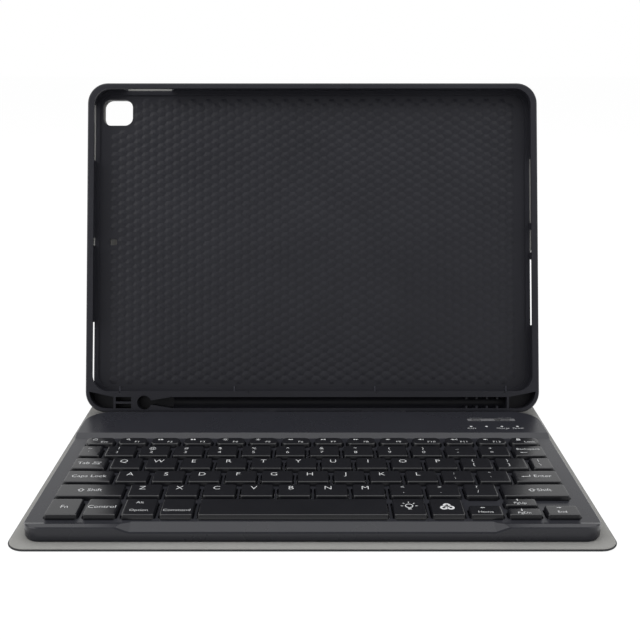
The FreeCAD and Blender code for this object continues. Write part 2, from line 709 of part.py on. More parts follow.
def case_section(drop, z0):
    """The case's side view: front lip, deck, slope and rear bar, lowered by a drop, down to z0."""
    front = KEYBOARD_FROM_FRONT
    return profile(
        [
            (front, z0),
            (front, LIP_Z - drop),
            (front + LIP_FLAT, LIP_Z - drop),
            (front + LIP_FLAT + LIP_SLOPE, DECK_Z - drop),
            (BAR_FRONT, DECK_Z - drop),
            (BAR_TOP_Y, BAR_Z - drop),
            (KEYBOARD_REAR, BAR_Z - drop),
            (KEYBOARD_REAR, z0),
        ],
        -KEYBOARD_WIDTH / 2,
        KEYBOARD_WIDTH / 2,
    )


def thumb_scoop():
    """The wide bevel that lowers the middle of the front edge."""
    top = LIP_Z + SCOOP_DROP
    lower = []
    upper = []
    for side, y, z in ((-1, -1, -2), (1, -1, -2), (1, 1, 0), (-1, 1, 0)):
        low = DECK_Z + z * SCOOP_DROP
        near = KEYBOARD_FROM_FRONT + y * SCOOP_DEPTH
        lower.append(Vec(side * SCOOP_HALF_WIDTH, near, low))
        upper.append(Vec(side * (SCOOP_HALF_WIDTH + SCOOP_END_SLOPE * (top - low)), near, top))
    return frustum(lower, upper)


def charge_port(fit, z_fit):
    """The charging socket's block, at the rear wall's right end."""
    half = SOCKET_WIDTH / 2 + fit
    return box(
        CIRCUIT_X - half, CIRCUIT_X + half, KEYBOARD_REAR - SOCKET_LENGTH, KEYBOARD_REAR, CIRCUIT_TOP - z_fit,
        CIRCUIT_TOP + SOCKET_HEIGHT + z_fit,
    )


def control_windows():
    """Cutters of the bezel's seat, the switch's and the button's windows, and the indicators' holes."""
    half = BEZEL_LENGTH / 2
    width = BEZEL_WIDTH / 2
    seat = box(
        CONTROL_X - half, CONTROL_X + half, CONTROL_Y - width, CONTROL_Y + width, BAR_Z - BEZEL_THICKNESS, BAR_Z
    )
    lights = [post(x, INDICATOR_Y, INDICATOR_R + INDICATOR_FIT, BASE_TOP, BAR_Z) for x in indicator_places()]
    return [seat] + bezel_windows() + lights


def bezel_windows():
    width = SWITCH_WIDTH / 2 + CONTROL_FIT
    low = BAR_Z - 2 * DECK_THICKNESS
    switch = SWITCH_LENGTH / 2 + CONTROL_FIT
    pair = PAIR_LENGTH / 2 + CONTROL_FIT
    near, far = CONTROL_Y - width, CONTROL_Y + width
    return [
        box(SWITCH_X - switch - SWITCH_TRAVEL, SWITCH_X + switch, near, far, low, BAR_Z),
        box(PAIR_X - pair, PAIR_X + pair, near, far, low, BAR_Z),
    ]


def indicator_places():
    first = CONTROL_X - INDICATOR_STEP * (INDICATOR_COUNT - 1) / 2
    return [first + number * INDICATOR_STEP for number in range(INDICATOR_COUNT)]


def upper_rim(case):
    """The edges where the case's upright sides meet its upper faces."""
    rim = []
    for edge in case.Edges:
        sides = 0
        for face in case.ancestorsOfType(edge, Part.Face):
            u0, u1, v0, v1 = face.ParameterRange
            sides += abs(face.normalAt((u0 + u1) / 2, (v0 + v1) / 2).z) < 1e-6
        if sides == 1 and min(vertex.Point.z for vertex in edge.Vertexes) > BASE_TOP:
            rim.append(edge)
    return rim


def keyboard_top_case(wells):
    case = case_section(0, BASE_TOP).common(footprint(0, BASE_TOP, BAR_Z)).cut(thumb_scoop())
    case = case.makeChamfer(CASE_EDGE_CHAMFER, upper_rim(case))
    hollow = case_section(DECK_THICKNESS, BASE_TOP).common(footprint(CASE_WALL, BASE_TOP, BAR_Z))
    nose = box(
        -KEYBOARD_WIDTH, KEYBOARD_WIDTH, KEYBOARD_FROM_FRONT, KEYBOARD_FROM_FRONT + SCOOP_DEPTH, NOSE_Z, BAR_Z
    )
    cutters = [hollow.cut(nose), charge_port(SOCKET_FIT, SOCKET_FIT)] + control_windows() + wells
    return case.cut(cutters)


def keyboard_bottom_case():
    base = footprint(BASE_INSET, PANEL, BASE_TOP)
    rim_top = BASE_TOP + MAGNET_THICKNESS
    rim = footprint(CASE_WALL + RIM_FIT, BASE_TOP, rim_top).cut(footprint(RIM_INSIDE, BASE_TOP, rim_top))
    half = CIRCUIT_LENGTH / 2 - CIRCUIT_POST_SIZE
    size = CIRCUIT_POST_SIZE
    low = CIRCUIT_REAR - CIRCUIT_WIDTH
    posts = [
        box(x, x + size, y, y + size, BASE_TOP, CIRCUIT_Z)
        for x in (CIRCUIT_X - half - size, CIRCUIT_X + half)
        for y in (low, CIRCUIT_REAR - size)
    ]
    return base.fuse([rim] + posts).cut(charge_port(SOCKET_FIT, SOCKET_FIT)).removeSplitter()


def key_sheet(z0, z1):
    """A thin sheet under the whole key field."""
    half = FIELD_WIDTH / 2 + SHEET_MARGIN
    return box(-half, half, FIELD_FRONT - SHEET_MARGIN, FIELD_REAR + SHEET_MARGIN, z0, z1)


def charge_socket():
    shell = charge_port(0, 0)
    half = SOCKET_WIDTH / 2 - SOCKET_WALL
    throat = box(
        CIRCUIT_X - half, CIRCUIT_X + half, KEYBOARD_REAR - SOCKET_LENGTH + SOCKET_WALL, KEYBOARD_REAR,
        CIRCUIT_TOP + SOCKET_WALL, CIRCUIT_TOP + SOCKET_HEIGHT - SOCKET_WALL,
    )
    middle = CIRCUIT_TOP + SOCKET_HEIGHT / 2
    tongue = box(
        CIRCUIT_X - half / 2, CIRCUIT_X + half / 2, KEYBOARD_REAR - SOCKET_LENGTH, KEYBOARD_REAR - SOCKET_WALL,
        middle - SOCKET_WALL / 2, middle + SOCKET_WALL / 2,
    )
    return shell.cut(throat).fuse(tongue).removeSplitter()


def control_block(x, length, z0):
    half = length / 2
    width = SWITCH_WIDTH / 2
    return box(x - half, x + half, CONTROL_Y - width, CONTROL_Y + width, z0, BAR_Z + CONTROL_PROUD)


def keyboard():
    layout = key_layout()
    every_key = [key for keys in layout.values() for key in keys]
    save("keyboard_top_case", keyboard_top_case([key.well() for key in every_key]))
    save("keyboard_bottom_case", keyboard_bottom_case())
    save("light_guide", key_sheet(BASE_TOP, LIGHT_GUIDE_TOP))
    save("support_plate", key_sheet(LIGHT_GUIDE_TOP, PLATE_TOP))
    save("membrane", key_sheet(PLATE_TOP, MEMBRANE_TOP))
    save("rubber_domes", group([key.dome() for key in every_key]))
    for name, keys in layout.items():
        save(name, group([key.cap() for key in keys]))

    half = BATTERY_LENGTH / 2
    battery_y = (BAR_TOP_Y + KEYBOARD_REAR) / 2
    width = BATTERY_WIDTH / 2
    save(
        "battery",
        plate(
            BATTERY_X - half, BATTERY_X + half, battery_y - width, battery_y + width, BASE_TOP,
            BASE_TOP + BATTERY_THICKNESS, (BATTERY_THICKNESS / 2,) * 4,
        ),
    )
    half = CIRCUIT_LENGTH / 2
    save(
        "circuit_board",
        box(CIRCUIT_X - half, CIRCUIT_X + half, CIRCUIT_REAR - CIRCUIT_WIDTH, CIRCUIT_REAR, CIRCUIT_Z, CIRCUIT_TOP),
    )
    save("charge_socket", charge_socket())
    save("keyboard_magnets", group(magnet_bars(0, BASE_TOP, BASE_TOP + MAGNET_THICKNESS)))

    half = BEZEL_LENGTH / 2
    width = BEZEL_WIDTH / 2
    bezel = box(
        CONTROL_X - half, CONTROL_X + half, CONTROL_Y - width, CONTROL_Y + width, BAR_Z - BEZEL_THICKNESS, BAR_Z
    )
    save("switch_bezel", bezel.cut(bezel_windows()))
    save("power_switch", control_block(SWITCH_X, SWITCH_LENGTH, CIRCUIT_TOP + CONTROL_FIT))
    save("pair_button", control_block(PAIR_X, PAIR_LENGTH, CIRCUIT_TOP + CONTROL_FIT + PAIR_TRAVEL))
    lights = [post(x, INDICATOR_Y, INDICATOR_R, CIRCUIT_TOP, BAR_Z) for x in indicator_places()]
    save("indicator_lights", group(lights))


def main():
    os.makedirs("parts", exist_ok=True)
    folio()
    save("tablet_tray", on_tray(tablet_tray()))
    save("tray_adhesive", on_tray(tray_adhesive()))
    keyboard()


main()
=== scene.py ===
import json
import math
from typing import Callable, NamedTuple

import bmesh
import bpy
from bpy.props import FloatProperty, FloatVectorProperty, IntProperty, PointerProperty
from mathutils import Matrix, Vector


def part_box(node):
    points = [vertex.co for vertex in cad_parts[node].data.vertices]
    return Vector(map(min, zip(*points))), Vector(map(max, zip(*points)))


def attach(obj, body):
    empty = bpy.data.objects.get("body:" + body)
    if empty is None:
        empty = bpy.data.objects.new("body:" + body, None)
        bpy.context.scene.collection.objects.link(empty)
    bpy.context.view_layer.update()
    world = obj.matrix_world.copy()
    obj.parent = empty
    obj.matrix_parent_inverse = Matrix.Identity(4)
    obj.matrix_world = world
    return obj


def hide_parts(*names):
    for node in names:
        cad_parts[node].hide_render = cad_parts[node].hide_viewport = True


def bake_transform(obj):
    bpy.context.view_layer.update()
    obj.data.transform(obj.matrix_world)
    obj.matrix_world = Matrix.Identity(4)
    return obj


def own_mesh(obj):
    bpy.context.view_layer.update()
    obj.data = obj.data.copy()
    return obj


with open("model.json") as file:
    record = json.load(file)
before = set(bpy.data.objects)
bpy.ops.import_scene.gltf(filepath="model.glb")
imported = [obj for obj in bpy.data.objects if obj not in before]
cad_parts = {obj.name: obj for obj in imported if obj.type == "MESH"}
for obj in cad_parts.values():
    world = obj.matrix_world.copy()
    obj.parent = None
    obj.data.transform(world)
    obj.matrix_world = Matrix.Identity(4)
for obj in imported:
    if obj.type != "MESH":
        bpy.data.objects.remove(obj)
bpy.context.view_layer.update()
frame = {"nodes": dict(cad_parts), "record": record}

bl_info = {
    "name": "Tablet keyboard case",
    "version": (1, 0, 0),
    "blender": (4, 5, 0),
    "location": "3D View > Sidebar > Case",
    "description": "Dresses the frame of a folio case with a tablet tray and a lift-off keyboard",
    "category": "Object",
}

MM = 0.001
RECORD = frame["record"]
MOUNTS = {mount["name"]: mount for mount in RECORD["mounts"]}
JOINTS = {joint["name"]: joint for joint in RECORD["behaviour"]["joints"]}
OPENINGS = {opening["name"]: opening["box_m"] for opening in RECORD["physics"]["openings"]}

# The three folds' axes and the tray's plane, read from the frame
FRONT_FOLD = Vector(JOINTS["front_fold_bend"]["pos_m"])
REAR_FOLD = Vector(JOINTS["rear_fold_bend"]["pos_m"])
UPPER_FOLD = Vector(JOINTS["upper_fold_bend"]["pos_m"])
TRAY_SEAT = Vector(MOUNTS["tablet_seat"]["pos_m"])
TRAY_FRONT = Vector(MOUNTS["tablet_seat"]["axis"]).normalized()
TRAY_UP = Vector((0, TRAY_FRONT.z, -TRAY_FRONT.y))
TRAY_PLANE = Matrix.Translation(TRAY_SEAT) @ Matrix((
    (1, 0, 0, 0),
    (0, TRAY_UP.y, TRAY_FRONT.y, 0),
    (0, TRAY_UP.z, TRAY_FRONT.z, 0),
    (0, 0, 0, 1),
))


def colour_setting(name, description, *parts):
    return FloatVectorProperty(
        name=name, description=description, subtype="COLOR", size=3, default=parts
    )


def length_setting(name, description, metres):
    return FloatProperty(name=name, description=description, unit="LENGTH", default=metres)


class CaseFinish(bpy.types.PropertyGroup):
    """Colours of the case's surfaces."""

    leather: colour_setting("Leather", "Outer skin", 0.016, 0.017, 0.019)
    lining: colour_setting("Lining", "Brushed inner cloth", 0.29, 0.287, 0.275)
    tray: colour_setting("Tray", "Soft moulded tray", 0.0205, 0.0208, 0.0268)
    deck: colour_setting("Deck", "Keyboard case", 0.0200, 0.0206, 0.0262)
    key: colour_setting("Keys", "Key caps", 0.0085, 0.0087, 0.0110)
    legend: colour_setting("Legends", "Translucent letters", 0.72, 0.73, 0.74)
    bezel: colour_setting("Bezel", "Strip round the switch", 0.15, 0.15, 0.157)


class CaseDetail(bpy.types.PropertyGroup):
    """Sizes of the details that the frame leaves open."""

    relief_pitch: length_setting("Relief pitch", "Step of the tray's relief along a row", 8.97 * MM)
    relief_height: length_setting("Relief height", "Height of one bump", 0.34 * MM)
    letter: length_setting("Letter size", "Size of a key's main letter", 4.6 * MM)
    word: length_setting("Word size", "Size of a key's word", 3.5 * MM)
    small: length_setting("Small legend", "Size of a key's second legend", 2.6 * MM)
    pair: length_setting("Pair size", "Size of a number and its sign", 3.3 * MM)
    corner_steps: IntProperty(
        name="Corner steps", description="Steps round a key's corner", default=5, min=2, max=12
    )


class CaseStage(bpy.types.PropertyGroup):
    """The view and the floor."""

    focal: FloatProperty(
        name="Focal length", description="Camera lens", unit="CAMERA", default=50.87
    )
    back: length_setting("Camera distance", "In front of the origin", 0.4456)
    height: length_setting("Camera height", "Above the table", 0.1996)
    pitch: FloatProperty(
        name="Camera pitch", description="Below the horizon",
        subtype="ANGLE", default=math.radians(16.42)
    )
    shift: FloatProperty(name="Camera shift", description="Sideways framing", default=0.0119)
    floor: colour_setting("Floor", "Pale floor", 0.86, 0.86, 0.86)


# Node helpers and shader groups


def feed(tree, value, socket):
    """Links another node's output to a socket, or sets the socket to a plain value."""
    if isinstance(value, bpy.types.NodeSocket):
        tree.links.new(value, socket)
    else:
        socket.default_value = value


def add_node(tree, kind, output, options=None, **inputs):
    """One output of a new node; in the inputs' names, _ stands for a space."""
    node = tree.nodes.new(kind)
    for option, value in (options or {}).items():
        setattr(node, option, value)
    for label, value in inputs.items():
        feed(tree, value, node.inputs[label.replace("_", " ")])
    return node.outputs[output]


def math_node(tree, operation, *values):
    node = tree.nodes.new("ShaderNodeMath")
    node.operation = operation
    for value, socket in zip(values, node.inputs):
        feed(tree, value, socket)
    return node.outputs[0]


def range_node(tree, value, source, target):
    """A value carried from one range to another, held at its ends."""
    return add_node(
        tree, "ShaderNodeMapRange", "Result", Value=value,
        From_Min=source[0], From_Max=source[1], To_Min=target[0], To_Max=target[1]
    )


# Shares of a grain's recipe
PEBBLE_POWER = 0.5
PEBBLE_FINE_SCALE = 2.5
PEBBLE_FINE_SHARE = 0.25
NAP_STRETCH = (1.0, 0.35, 0.35)
FLECK_SCALE = 0.4
FLECK_SHARE = 0.6
SLOW_SHARE = 0.4


def noise_node(tree, where, scale, detail, roughness=0.5):
    return add_node(
        tree, "ShaderNodeTexNoise", "Fac",
        Vector=where, Scale=scale, Detail=detail, Roughness=roughness
    )


def moulded_grain(tree, where, scale, mottle):
    """Fine spark-eroded texture of moulded plastic, with slow mottling."""
    slow = noise_node(tree, where, mottle, detail=5, roughness=0.6)
    return noise_node(tree, where, scale, detail=3), slow


def leather_grain(tree, where, scale, mottle):
    """Small rounded pebbles between creases."""
    cells = add_node(
        tree, "ShaderNodeTexVoronoi", "Distance", {"feature": "DISTANCE_TO_EDGE"},
        Vector=where, Scale=scale
    )
    pebble = math_node(tree, "POWER", cells, PEBBLE_POWER)
    fine_scale = math_node(tree, "MULTIPLY", scale, PEBBLE_FINE_SCALE)
    fine = noise_node(tree, where, fine_scale, detail=2)
    fine = math_node(tree, "MULTIPLY", fine, PEBBLE_FINE_SHARE)
    height = math_node(tree, "ADD", pebble, fine)
    return height, noise_node(tree, where, mottle, detail=6, roughness=0.6)


def brushed_nap(tree, where, scale, mottle):
    """Short fibres of a brushed cloth, lying mostly one way."""
    lying = add_node(tree, "ShaderNodeMapping", "Vector", Vector=where, Scale=NAP_STRETCH)
    fibres = noise_node(tree, lying, scale, detail=4, roughness=0.65)
    fleck_scale = math_node(tree, "MULTIPLY", scale, FLECK_SCALE)
    flecks = noise_node(tree, where, fleck_scale, detail=3, roughness=0.6)
    slow = noise_node(tree, where, mottle, detail=5, roughness=0.6)
    flecks = math_node(tree, "MULTIPLY", flecks, FLECK_SHARE)
    return fibres, math_node(tree, "ADD", flecks, math_node(tree, "MULTIPLY", slow, SLOW_SHARE))


def grain_group(weave):
    """The shader group of a grain: from two scales, a fine height and a slow mottling."""
    tree = bpy.data.node_groups.get(weave.__name__)
    if tree:
        return tree
    tree = bpy.data.node_groups.new(weave.__name__, "ShaderNodeTree")
    for way, labels in (("INPUT", ("Scale", "Mottle Scale")), ("OUTPUT", ("Height", "Mottle"))):
        for label in labels:
            tree.interface.new_socket(name=label, in_out=way, socket_type="NodeSocketFloat")
    given = tree.nodes.new("NodeGroupInput").outputs
    result = tree.nodes.new("NodeGroupOutput").inputs
    where = add_node(tree, "ShaderNodeTexCoord", "Object")
    height, mottle = weave(tree, where, given["Scale"], given["Mottle Scale"])
    tree.links.new(height, result["Height"])
    tree.links.new(mottle, result["Mottle"])
    return tree


class Surface(NamedTuple):
    """A surface apart from its colour: its grain, and how far colour and roughness stray."""

    grain: Callable
    spread: float
    roughness: float
    rough_spread: float
    scale: float
    depth: float
    mottle: float = 60
    sockets: tuple = ()


SOFT_SHINE = (("Specular IOR Level", 0.3),)
LEATHER = Surface(
    leather_grain, spread=0.25, roughness=0.52, rough_spread=0.08, scale=1100, depth=0.12 * MM,
    mottle=30, sockets=SOFT_SHINE
)
LINING = Surface(
    brushed_nap, spread=0.16, roughness=0.92, rough_spread=0.04, scale=2600, depth=0.15 * MM,
    sockets=(("Sheen Weight", 0.2),)
)
METAL = Surface(
    brushed_nap, spread=0.08, roughness=0.38, rough_spread=0.08, scale=1800, depth=0.01 * MM,
    mottle=50, sockets=(("Metallic", 1.0),)
)
PLAIN = Surface(
    moulded_grain, spread=0.1, roughness=0.4, rough_spread=0.05, scale=2200, depth=0.01 * MM
)
TRAY = PLAIN._replace(spread=0.15, roughness=0.38, scale=2400, mottle=25, sockets=SOFT_SHINE)
DECK = PLAIN._replace(
    spread=0.08, roughness=0.28, rough_spread=0.03, scale=3200, depth=0.002 * MM,
    mottle=30, sockets=(("Specular IOR Level", 0.32),)
)
KEY = PLAIN._replace(
    spread=0.12, roughness=0.21, rough_spread=0.02, scale=3600, depth=0.001 * MM
)
BEZEL = PLAIN._replace(spread=0.06, scale=3000)
LEGEND = BEZEL._replace(spread=0.03, roughness=0.5, depth=0.005 * MM, mottle=80)
BUMP_STRENGTH = 0.6
MOTTLE_RANGE = (0.3, 0.7)
# Places of a colour mix's sockets: its factor and two colours, and its result
MIX_INPUTS = (0, 6, 7)
MIX_RESULT = 2


def finish(name, surface, colour, **changes):
    """The material of a surface in a colour, with any of the surface's values changed."""
    material = bpy.data.materials.get(name)
    if material:
        return material
    surface = surface._replace(**changes)
    material = bpy.data.materials.new(name)
    material.use_nodes = True
    tree = material.node_tree
    shader = tree.nodes["Principled BSDF"].inputs
    mottle = add_node(
        tree, "ShaderNodeGroup", "Mottle", {"node_tree": grain_group(surface.grain)},
        Scale=surface.scale, Mottle_Scale=surface.mottle
    )
    tint = tree.nodes.new("ShaderNodeMix")
    tint.data_type = "RGBA"
    dark = [max(part * (1 - surface.spread), 0) for part in colour] + [1]
    light = [min(part * (1 + surface.spread), 1) for part in colour] + [1]
    for place, value in zip(MIX_INPUTS, (mottle, dark, light)):
        feed(tree, value, tint.inputs[place])
    low, high = (surface.roughness + way * surface.rough_spread for way in (-1, 1))
    bump = add_node(
        tree, "ShaderNodeBump", "Normal", Distance=surface.depth, Strength=BUMP_STRENGTH,
        Height=mottle.node.outputs["Height"]
    )
    tree.links.new(tint.outputs[MIX_RESULT], shader["Base Color"])
    tree.links.new(range_node(tree, mottle, MOTTLE_RANGE, (low, high)), shader["Roughness"])
    tree.links.new(bump, shader["Normal"])
    for socket, value in surface.sockets:
        shader[socket].default_value = value
    return material


# Mesh helpers

# Edges that turn further, in degrees, stay crisp
NODE_SHARP = 28
LAYER_SHARP = 50
CAP_SHARP = 32
DOME_SHARP = 40
BAR_SHARP = 13
LEAST_CORNER = 0.2 * MM
CORNER_SHRINK = 0.5  # share of an inset that a corner's radius loses
WELD_REACH = 0.002 * MM
SAME_POINT = 0.001 * MM


def add_object(name, data):
    piece = bpy.data.objects.new(name, data)
    bpy.context.scene.collection.objects.link(piece)
    return piece


def smooth_by_angle(mesh, degrees):
    """Smooth faces whose edges stay sharp above an angle."""
    for face in mesh.polygons:
        face.use_smooth = True
    mesh.set_sharp_from_angle(angle=math.radians(degrees))


def piece_from(name, build, materials, sharp=None):
    """An object from a bmesh, with outward faces, and smooth ones if an angle is given."""
    bmesh.ops.recalc_face_normals(build, faces=build.faces)
    mesh = bpy.data.meshes.new(name)
    build.to_mesh(mesh)
    build.free()
    for material in materials:
        mesh.materials.append(material)
    if sharp:
        smooth_by_angle(mesh, sharp)
    return add_object(name, mesh)


def evaluated_mesh(holder):
    """A mesh of what an object's modifiers or letters come to."""
    bpy.context.view_layer.update()
    depsgraph = bpy.context.evaluated_depsgraph_get()
    return bpy.data.meshes.new_from_object(holder.evaluated_get(depsgraph))


def take_modifiers(piece):
    """Turns a piece's evaluated shape into its own mesh."""
    mesh = evaluated_mesh(piece)
    piece.modifiers.clear()
    piece.data = mesh


def dress_node(name, material, sharp=None):
    """Gives a CAD node its material and, if an angle is given, soft shading over its facets."""
    node = frame["nodes"][name]
    node.data.materials.clear()
    node.data.materials.append(material)
    if not sharp:
        return
    for face in node.data.polygons:
        face.use_smooth = True
    node.modifiers.new("weld", "WELD").merge_threshold = WELD_REACH
    node.modifiers.new("sharp", "EDGE_SPLIT").split_angle = math.radians(sharp)


def node_islands(name):
    """The corner points of each separate solid of a CAD node, from left to right."""
    build = bmesh.new()
    build.from_mesh(frame["nodes"][name].data)
    bmesh.ops.remove_doubles(build, verts=build.verts, dist=SAME_POINT)
    left = set(build.verts)
    islands = []
    while left:
        front = [left.pop()]
        found = list(front)
        while front:
            vertex = front.pop()
            for edge in vertex.link_edges:
                other = edge.other_vert(vertex)
                if other in left:
                    left.remove(other)
                    front.append(other)
                    found.append(other)
        islands.append([vertex.co.copy() for vertex in found])
    build.free()
    return sorted(islands, key=lambda points: sum(p.x for p in points) / len(points))


def rounded_ring(build, edge, z, inset, radius, steps):
    """A level ring of points inside a rectangle, with rounded corners."""
    x0, x1, y0, y1 = edge
    bend = max(radius - inset * CORNER_SHRINK, LEAST_CORNER)
    x0, x1, y0, y1 = x0 + inset + bend, x1 - inset - bend, y0 + inset + bend, y1 - inset - bend
    ring = []
    for quarter, (x, y) in enumerate(((x1, y1), (x0, y1), (x0, y0), (x1, y0))):
        for step in range(steps + 1):
            angle = math.pi / 2 * (quarter + step / steps)
            spot = (x + bend * math.cos(angle), y + bend * math.sin(angle), z)
            ring.append(build.verts.new(spot))
    return ring


def band_faces(build, lower, upper):
    """Faces between two rings of as many points."""
    corners = zip(lower, lower[1:] + lower[:1], upper[1:] + upper[:1], upper)
    return [build.faces.new(four) for four in corners]


def close_rings(build, rings, material=0):
    """A closed skin over a stack of rings."""
    faces = []
    for lower, upper in zip(rings, rings[1:]):
        faces += band_faces(build, lower, upper)
    faces.append(build.faces.new(list(reversed(rings[0]))))
    faces.append(build.faces.new(rings[-1]))
    for face in faces:
        face.material_index = material


def add_block(build, low, high, material):
    """A closed block between two corners."""
    foot = ((low[0], low[1]), (high[0], low[1]), (high[0], high[1]), (low[0], high[1]))
    rings = [[build.verts.new((x, y, z)) for x, y in foot] for z in (low[2], high[2])]
    close_rings(build, rings, material)


def heading(angle):
    return Vector((math.cos(angle), math.sin(angle)))


def across(angle):
    return Vector((-math.sin(angle), math.cos(angle)))


# Geometry trees


def geometry_tree(name, **inputs):
    """A geometry tree with named inputs, their socket identifiers and their outputs inside it."""
    tree = bpy.data.node_groups.new(name, "GeometryNodeTree")
    add_socket = tree.interface.new_socket
    sockets = {}
    for kind, labels in inputs.items():
        for label in labels:
            socket = add_socket(name=label, in_out="INPUT", socket_type="NodeSocket" + kind)
            sockets[label] = socket.identifier
    add_socket(name="Geometry", in_out="OUTPUT", socket_type="NodeSocketGeometry")
    return tree, sockets, tree.nodes.new("NodeGroupInput").outputs


def cone_node(tree, sides, foot, top, height, rings):
    return add_node(
        tree, "GeometryNodeMeshCone", "Mesh", {"fill_type": "NGON"}, Vertices=sides,
        Side_Segments=rings, Radius_Bottom=foot, Radius_Top=top, Depth=height
    )


def set_on_points(tree, points, shape, material):
    """Ends a tree with a real copy of a shape on each point, in one material."""
    spread = add_node(
        tree, "GeometryNodeInstanceOnPoints", "Instances", Points=points, Instance=shape
    )
    real = add_node(tree, "GeometryNodeRealizeInstances", "Geometry", Geometry=spread)
    painted = add_node(
        tree, "GeometryNodeSetMaterial", "Geometry", Geometry=real, Material=material
    )
    tree.links.new(painted, tree.nodes.new("NodeGroupOutput").inputs["Geometry"])


def run_tree(piece, tree, sockets, values):
    """Runs a tree on a piece, and keeps the result as the piece's own mesh."""
    nodes = piece.modifiers.new(tree.name, "NODES")
    nodes.node_group = tree
    for label, value in values.items():
        nodes[sockets[label]] = value
    take_modifiers(piece)


# The folded cover

COVER_LOW, COVER_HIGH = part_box("front_cover_skin")
COVER_WIDTH = COVER_HIGH.x - COVER_LOW.x
COVER_CORNER = 8.5 * MM
COVER_CORNER_STEPS = 10
PANEL_HALF = FRONT_FOLD.z
LINING_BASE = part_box("front_cover_lining")[0].z - PANEL_HALF
FOLD_REACH = 3.0 * MM  # what a bend takes up on each side of its axis
FOLD_EASE = 1.4 * MM  # where the cover thins towards a bend
FOLD_FINE = 1.3 * FOLD_EASE  # how far past a bend the stations stay close
FOLD_STEPS = 28
STATION_STEP = 6 * MM
STATION_LEAST = 0.05 * MM
STRAIGHT = 1e-4


class FoldedPath:
    """The cover's middle line in Y and Z, from the front edge over the folds to the top edge."""

    def __init__(self):
        tilt = math.atan2(TRAY_UP.y, TRAY_UP.z)
        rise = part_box("upper_back_skin")[1].z - UPPER_FOLD.z - LINING_BASE * math.sin(tilt)
        start = Vector((COVER_LOW.y, PANEL_HALF))
        corners = [Vector((p.y, p.z)) for p in (FRONT_FOLD, REAR_FOLD, UPPER_FOLD)]
        end = corners[2] + Vector((TRAY_UP.y, TRAY_UP.z)) * (rise / math.cos(tilt))
        points = [start] + corners + [end]
        self.runs = []  # each run's first distance, length, start, angle and bend
        self.folds = []  # each fold's middle and half length
        self.length = 0.0
        here = start
        for before, corner, after in zip(points, points[1:], points[2:]):
            turn_in = math.atan2(corner.y - before.y, corner.x - before.x)
            turn_out = math.atan2(after.y - corner.y, after.x - corner.x)
            self.add_run(here, turn_in, (corner - here).length - FOLD_REACH)
            bend = turn_out - turn_in
            arc = 2 * FOLD_REACH
            if abs(bend) > STRAIGHT:
                arc = FOLD_REACH / math.tan(abs(bend) / 2) * abs(bend)
            else:
                bend = 0.0
            self.folds.append((self.length + arc / 2, arc / 2))
            self.add_run(corner - heading(turn_in) * FOLD_REACH, turn_in, arc, bend)
            here = corner + heading(turn_out) * FOLD_REACH
        self.add_run(here, turn_out, (end - here).length)

    def add_run(self, start, angle, length, bend=0.0):
        self.runs.append((self.length, length, start, angle, bend))
        self.length += length

    def place(self, x, u, n):
        """The point at x, at a distance u along the cover, and n towards the lining."""
        for first, length, start, angle, bend in self.runs:
            if u <= first + length or first + length >= self.length:
                break
        along = u - first
        if bend:
            radius = math.copysign(length / abs(bend), bend)
            middle = start + across(angle) * radius
            angle += bend * along / length
            spot = middle - across(angle) * radius
        else:
            spot = start + heading(angle) * along
        spot = spot + across(angle) * n
        return Vector((x, spot.x, spot.y))

    def thinness(self, u):
        """1 in a fold, 0 on a panel, eased between them."""
        near = min(abs(u - middle) - half for middle, half in self.folds)
        share = min(max(1 - near / FOLD_EASE, 0), 1)
        return share * share * (3 - 2 * share)

    def middle_of(self, panel):
        """The distance to the middle of the panel between two folds."""
        (a, half_a), (b, half_b) = self.folds[panel], self.folds[panel + 1]
        return (a + half_a + b - half_b) / 2

    def fold_ends(self, number):
        """Where a fold's bend begins and ends."""
        middle, half = self.folds[number]
        return [tuple(self.place(0, middle + way * half, 0)) for way in (-1, 1)]

    def stations(self, u0, u1):
        """Distances along the cover, close together over the folds."""
        steps = max(int((u1 - u0) / STATION_STEP), 2)
        marks = {u0, u1}
        marks.update(u0 + (u1 - u0) * step / steps for step in range(steps + 1))
        for middle, half in self.folds:
            reach = half + FOLD_FINE
            for step in range(FOLD_STEPS + 1):
                marks.add(middle - reach + 2 * reach * step / FOLD_STEPS)
        kept = []
        for mark in sorted(mark for mark in marks if u0 <= mark <= u1):
            if not kept or mark - kept[-1] > STATION_LEAST:
                kept.append(mark)
        return kept


# Rings of a layer's section, in millimetres: inset from the edge, height on a panel and in a fold
LEATHER_SECTION = (
    (4.0, -0.75, -0.45),
    (1.6, -0.74, -0.44),
    (0.70, -0.60, -0.36),
    (0.20, -0.38, -0.24),
    (0.0, -0.10, -0.08),
    (0.0, 0.10, 0.0),
    (0.12, 0.24, 0.06),
    (0.40, 0.33, 0.10),
    (1.60, 0.35, 0.12),
)
LINING_SECTION = (
    (1.9, 0.36, 0.13),
    (0.70, 0.37, 0.14),
    (0.45, 0.43, 0.20),
    (0.50, 0.56, 0.28),
    (0.90, 0.68, 0.38),
    (2.2, 0.75, 0.45),
)


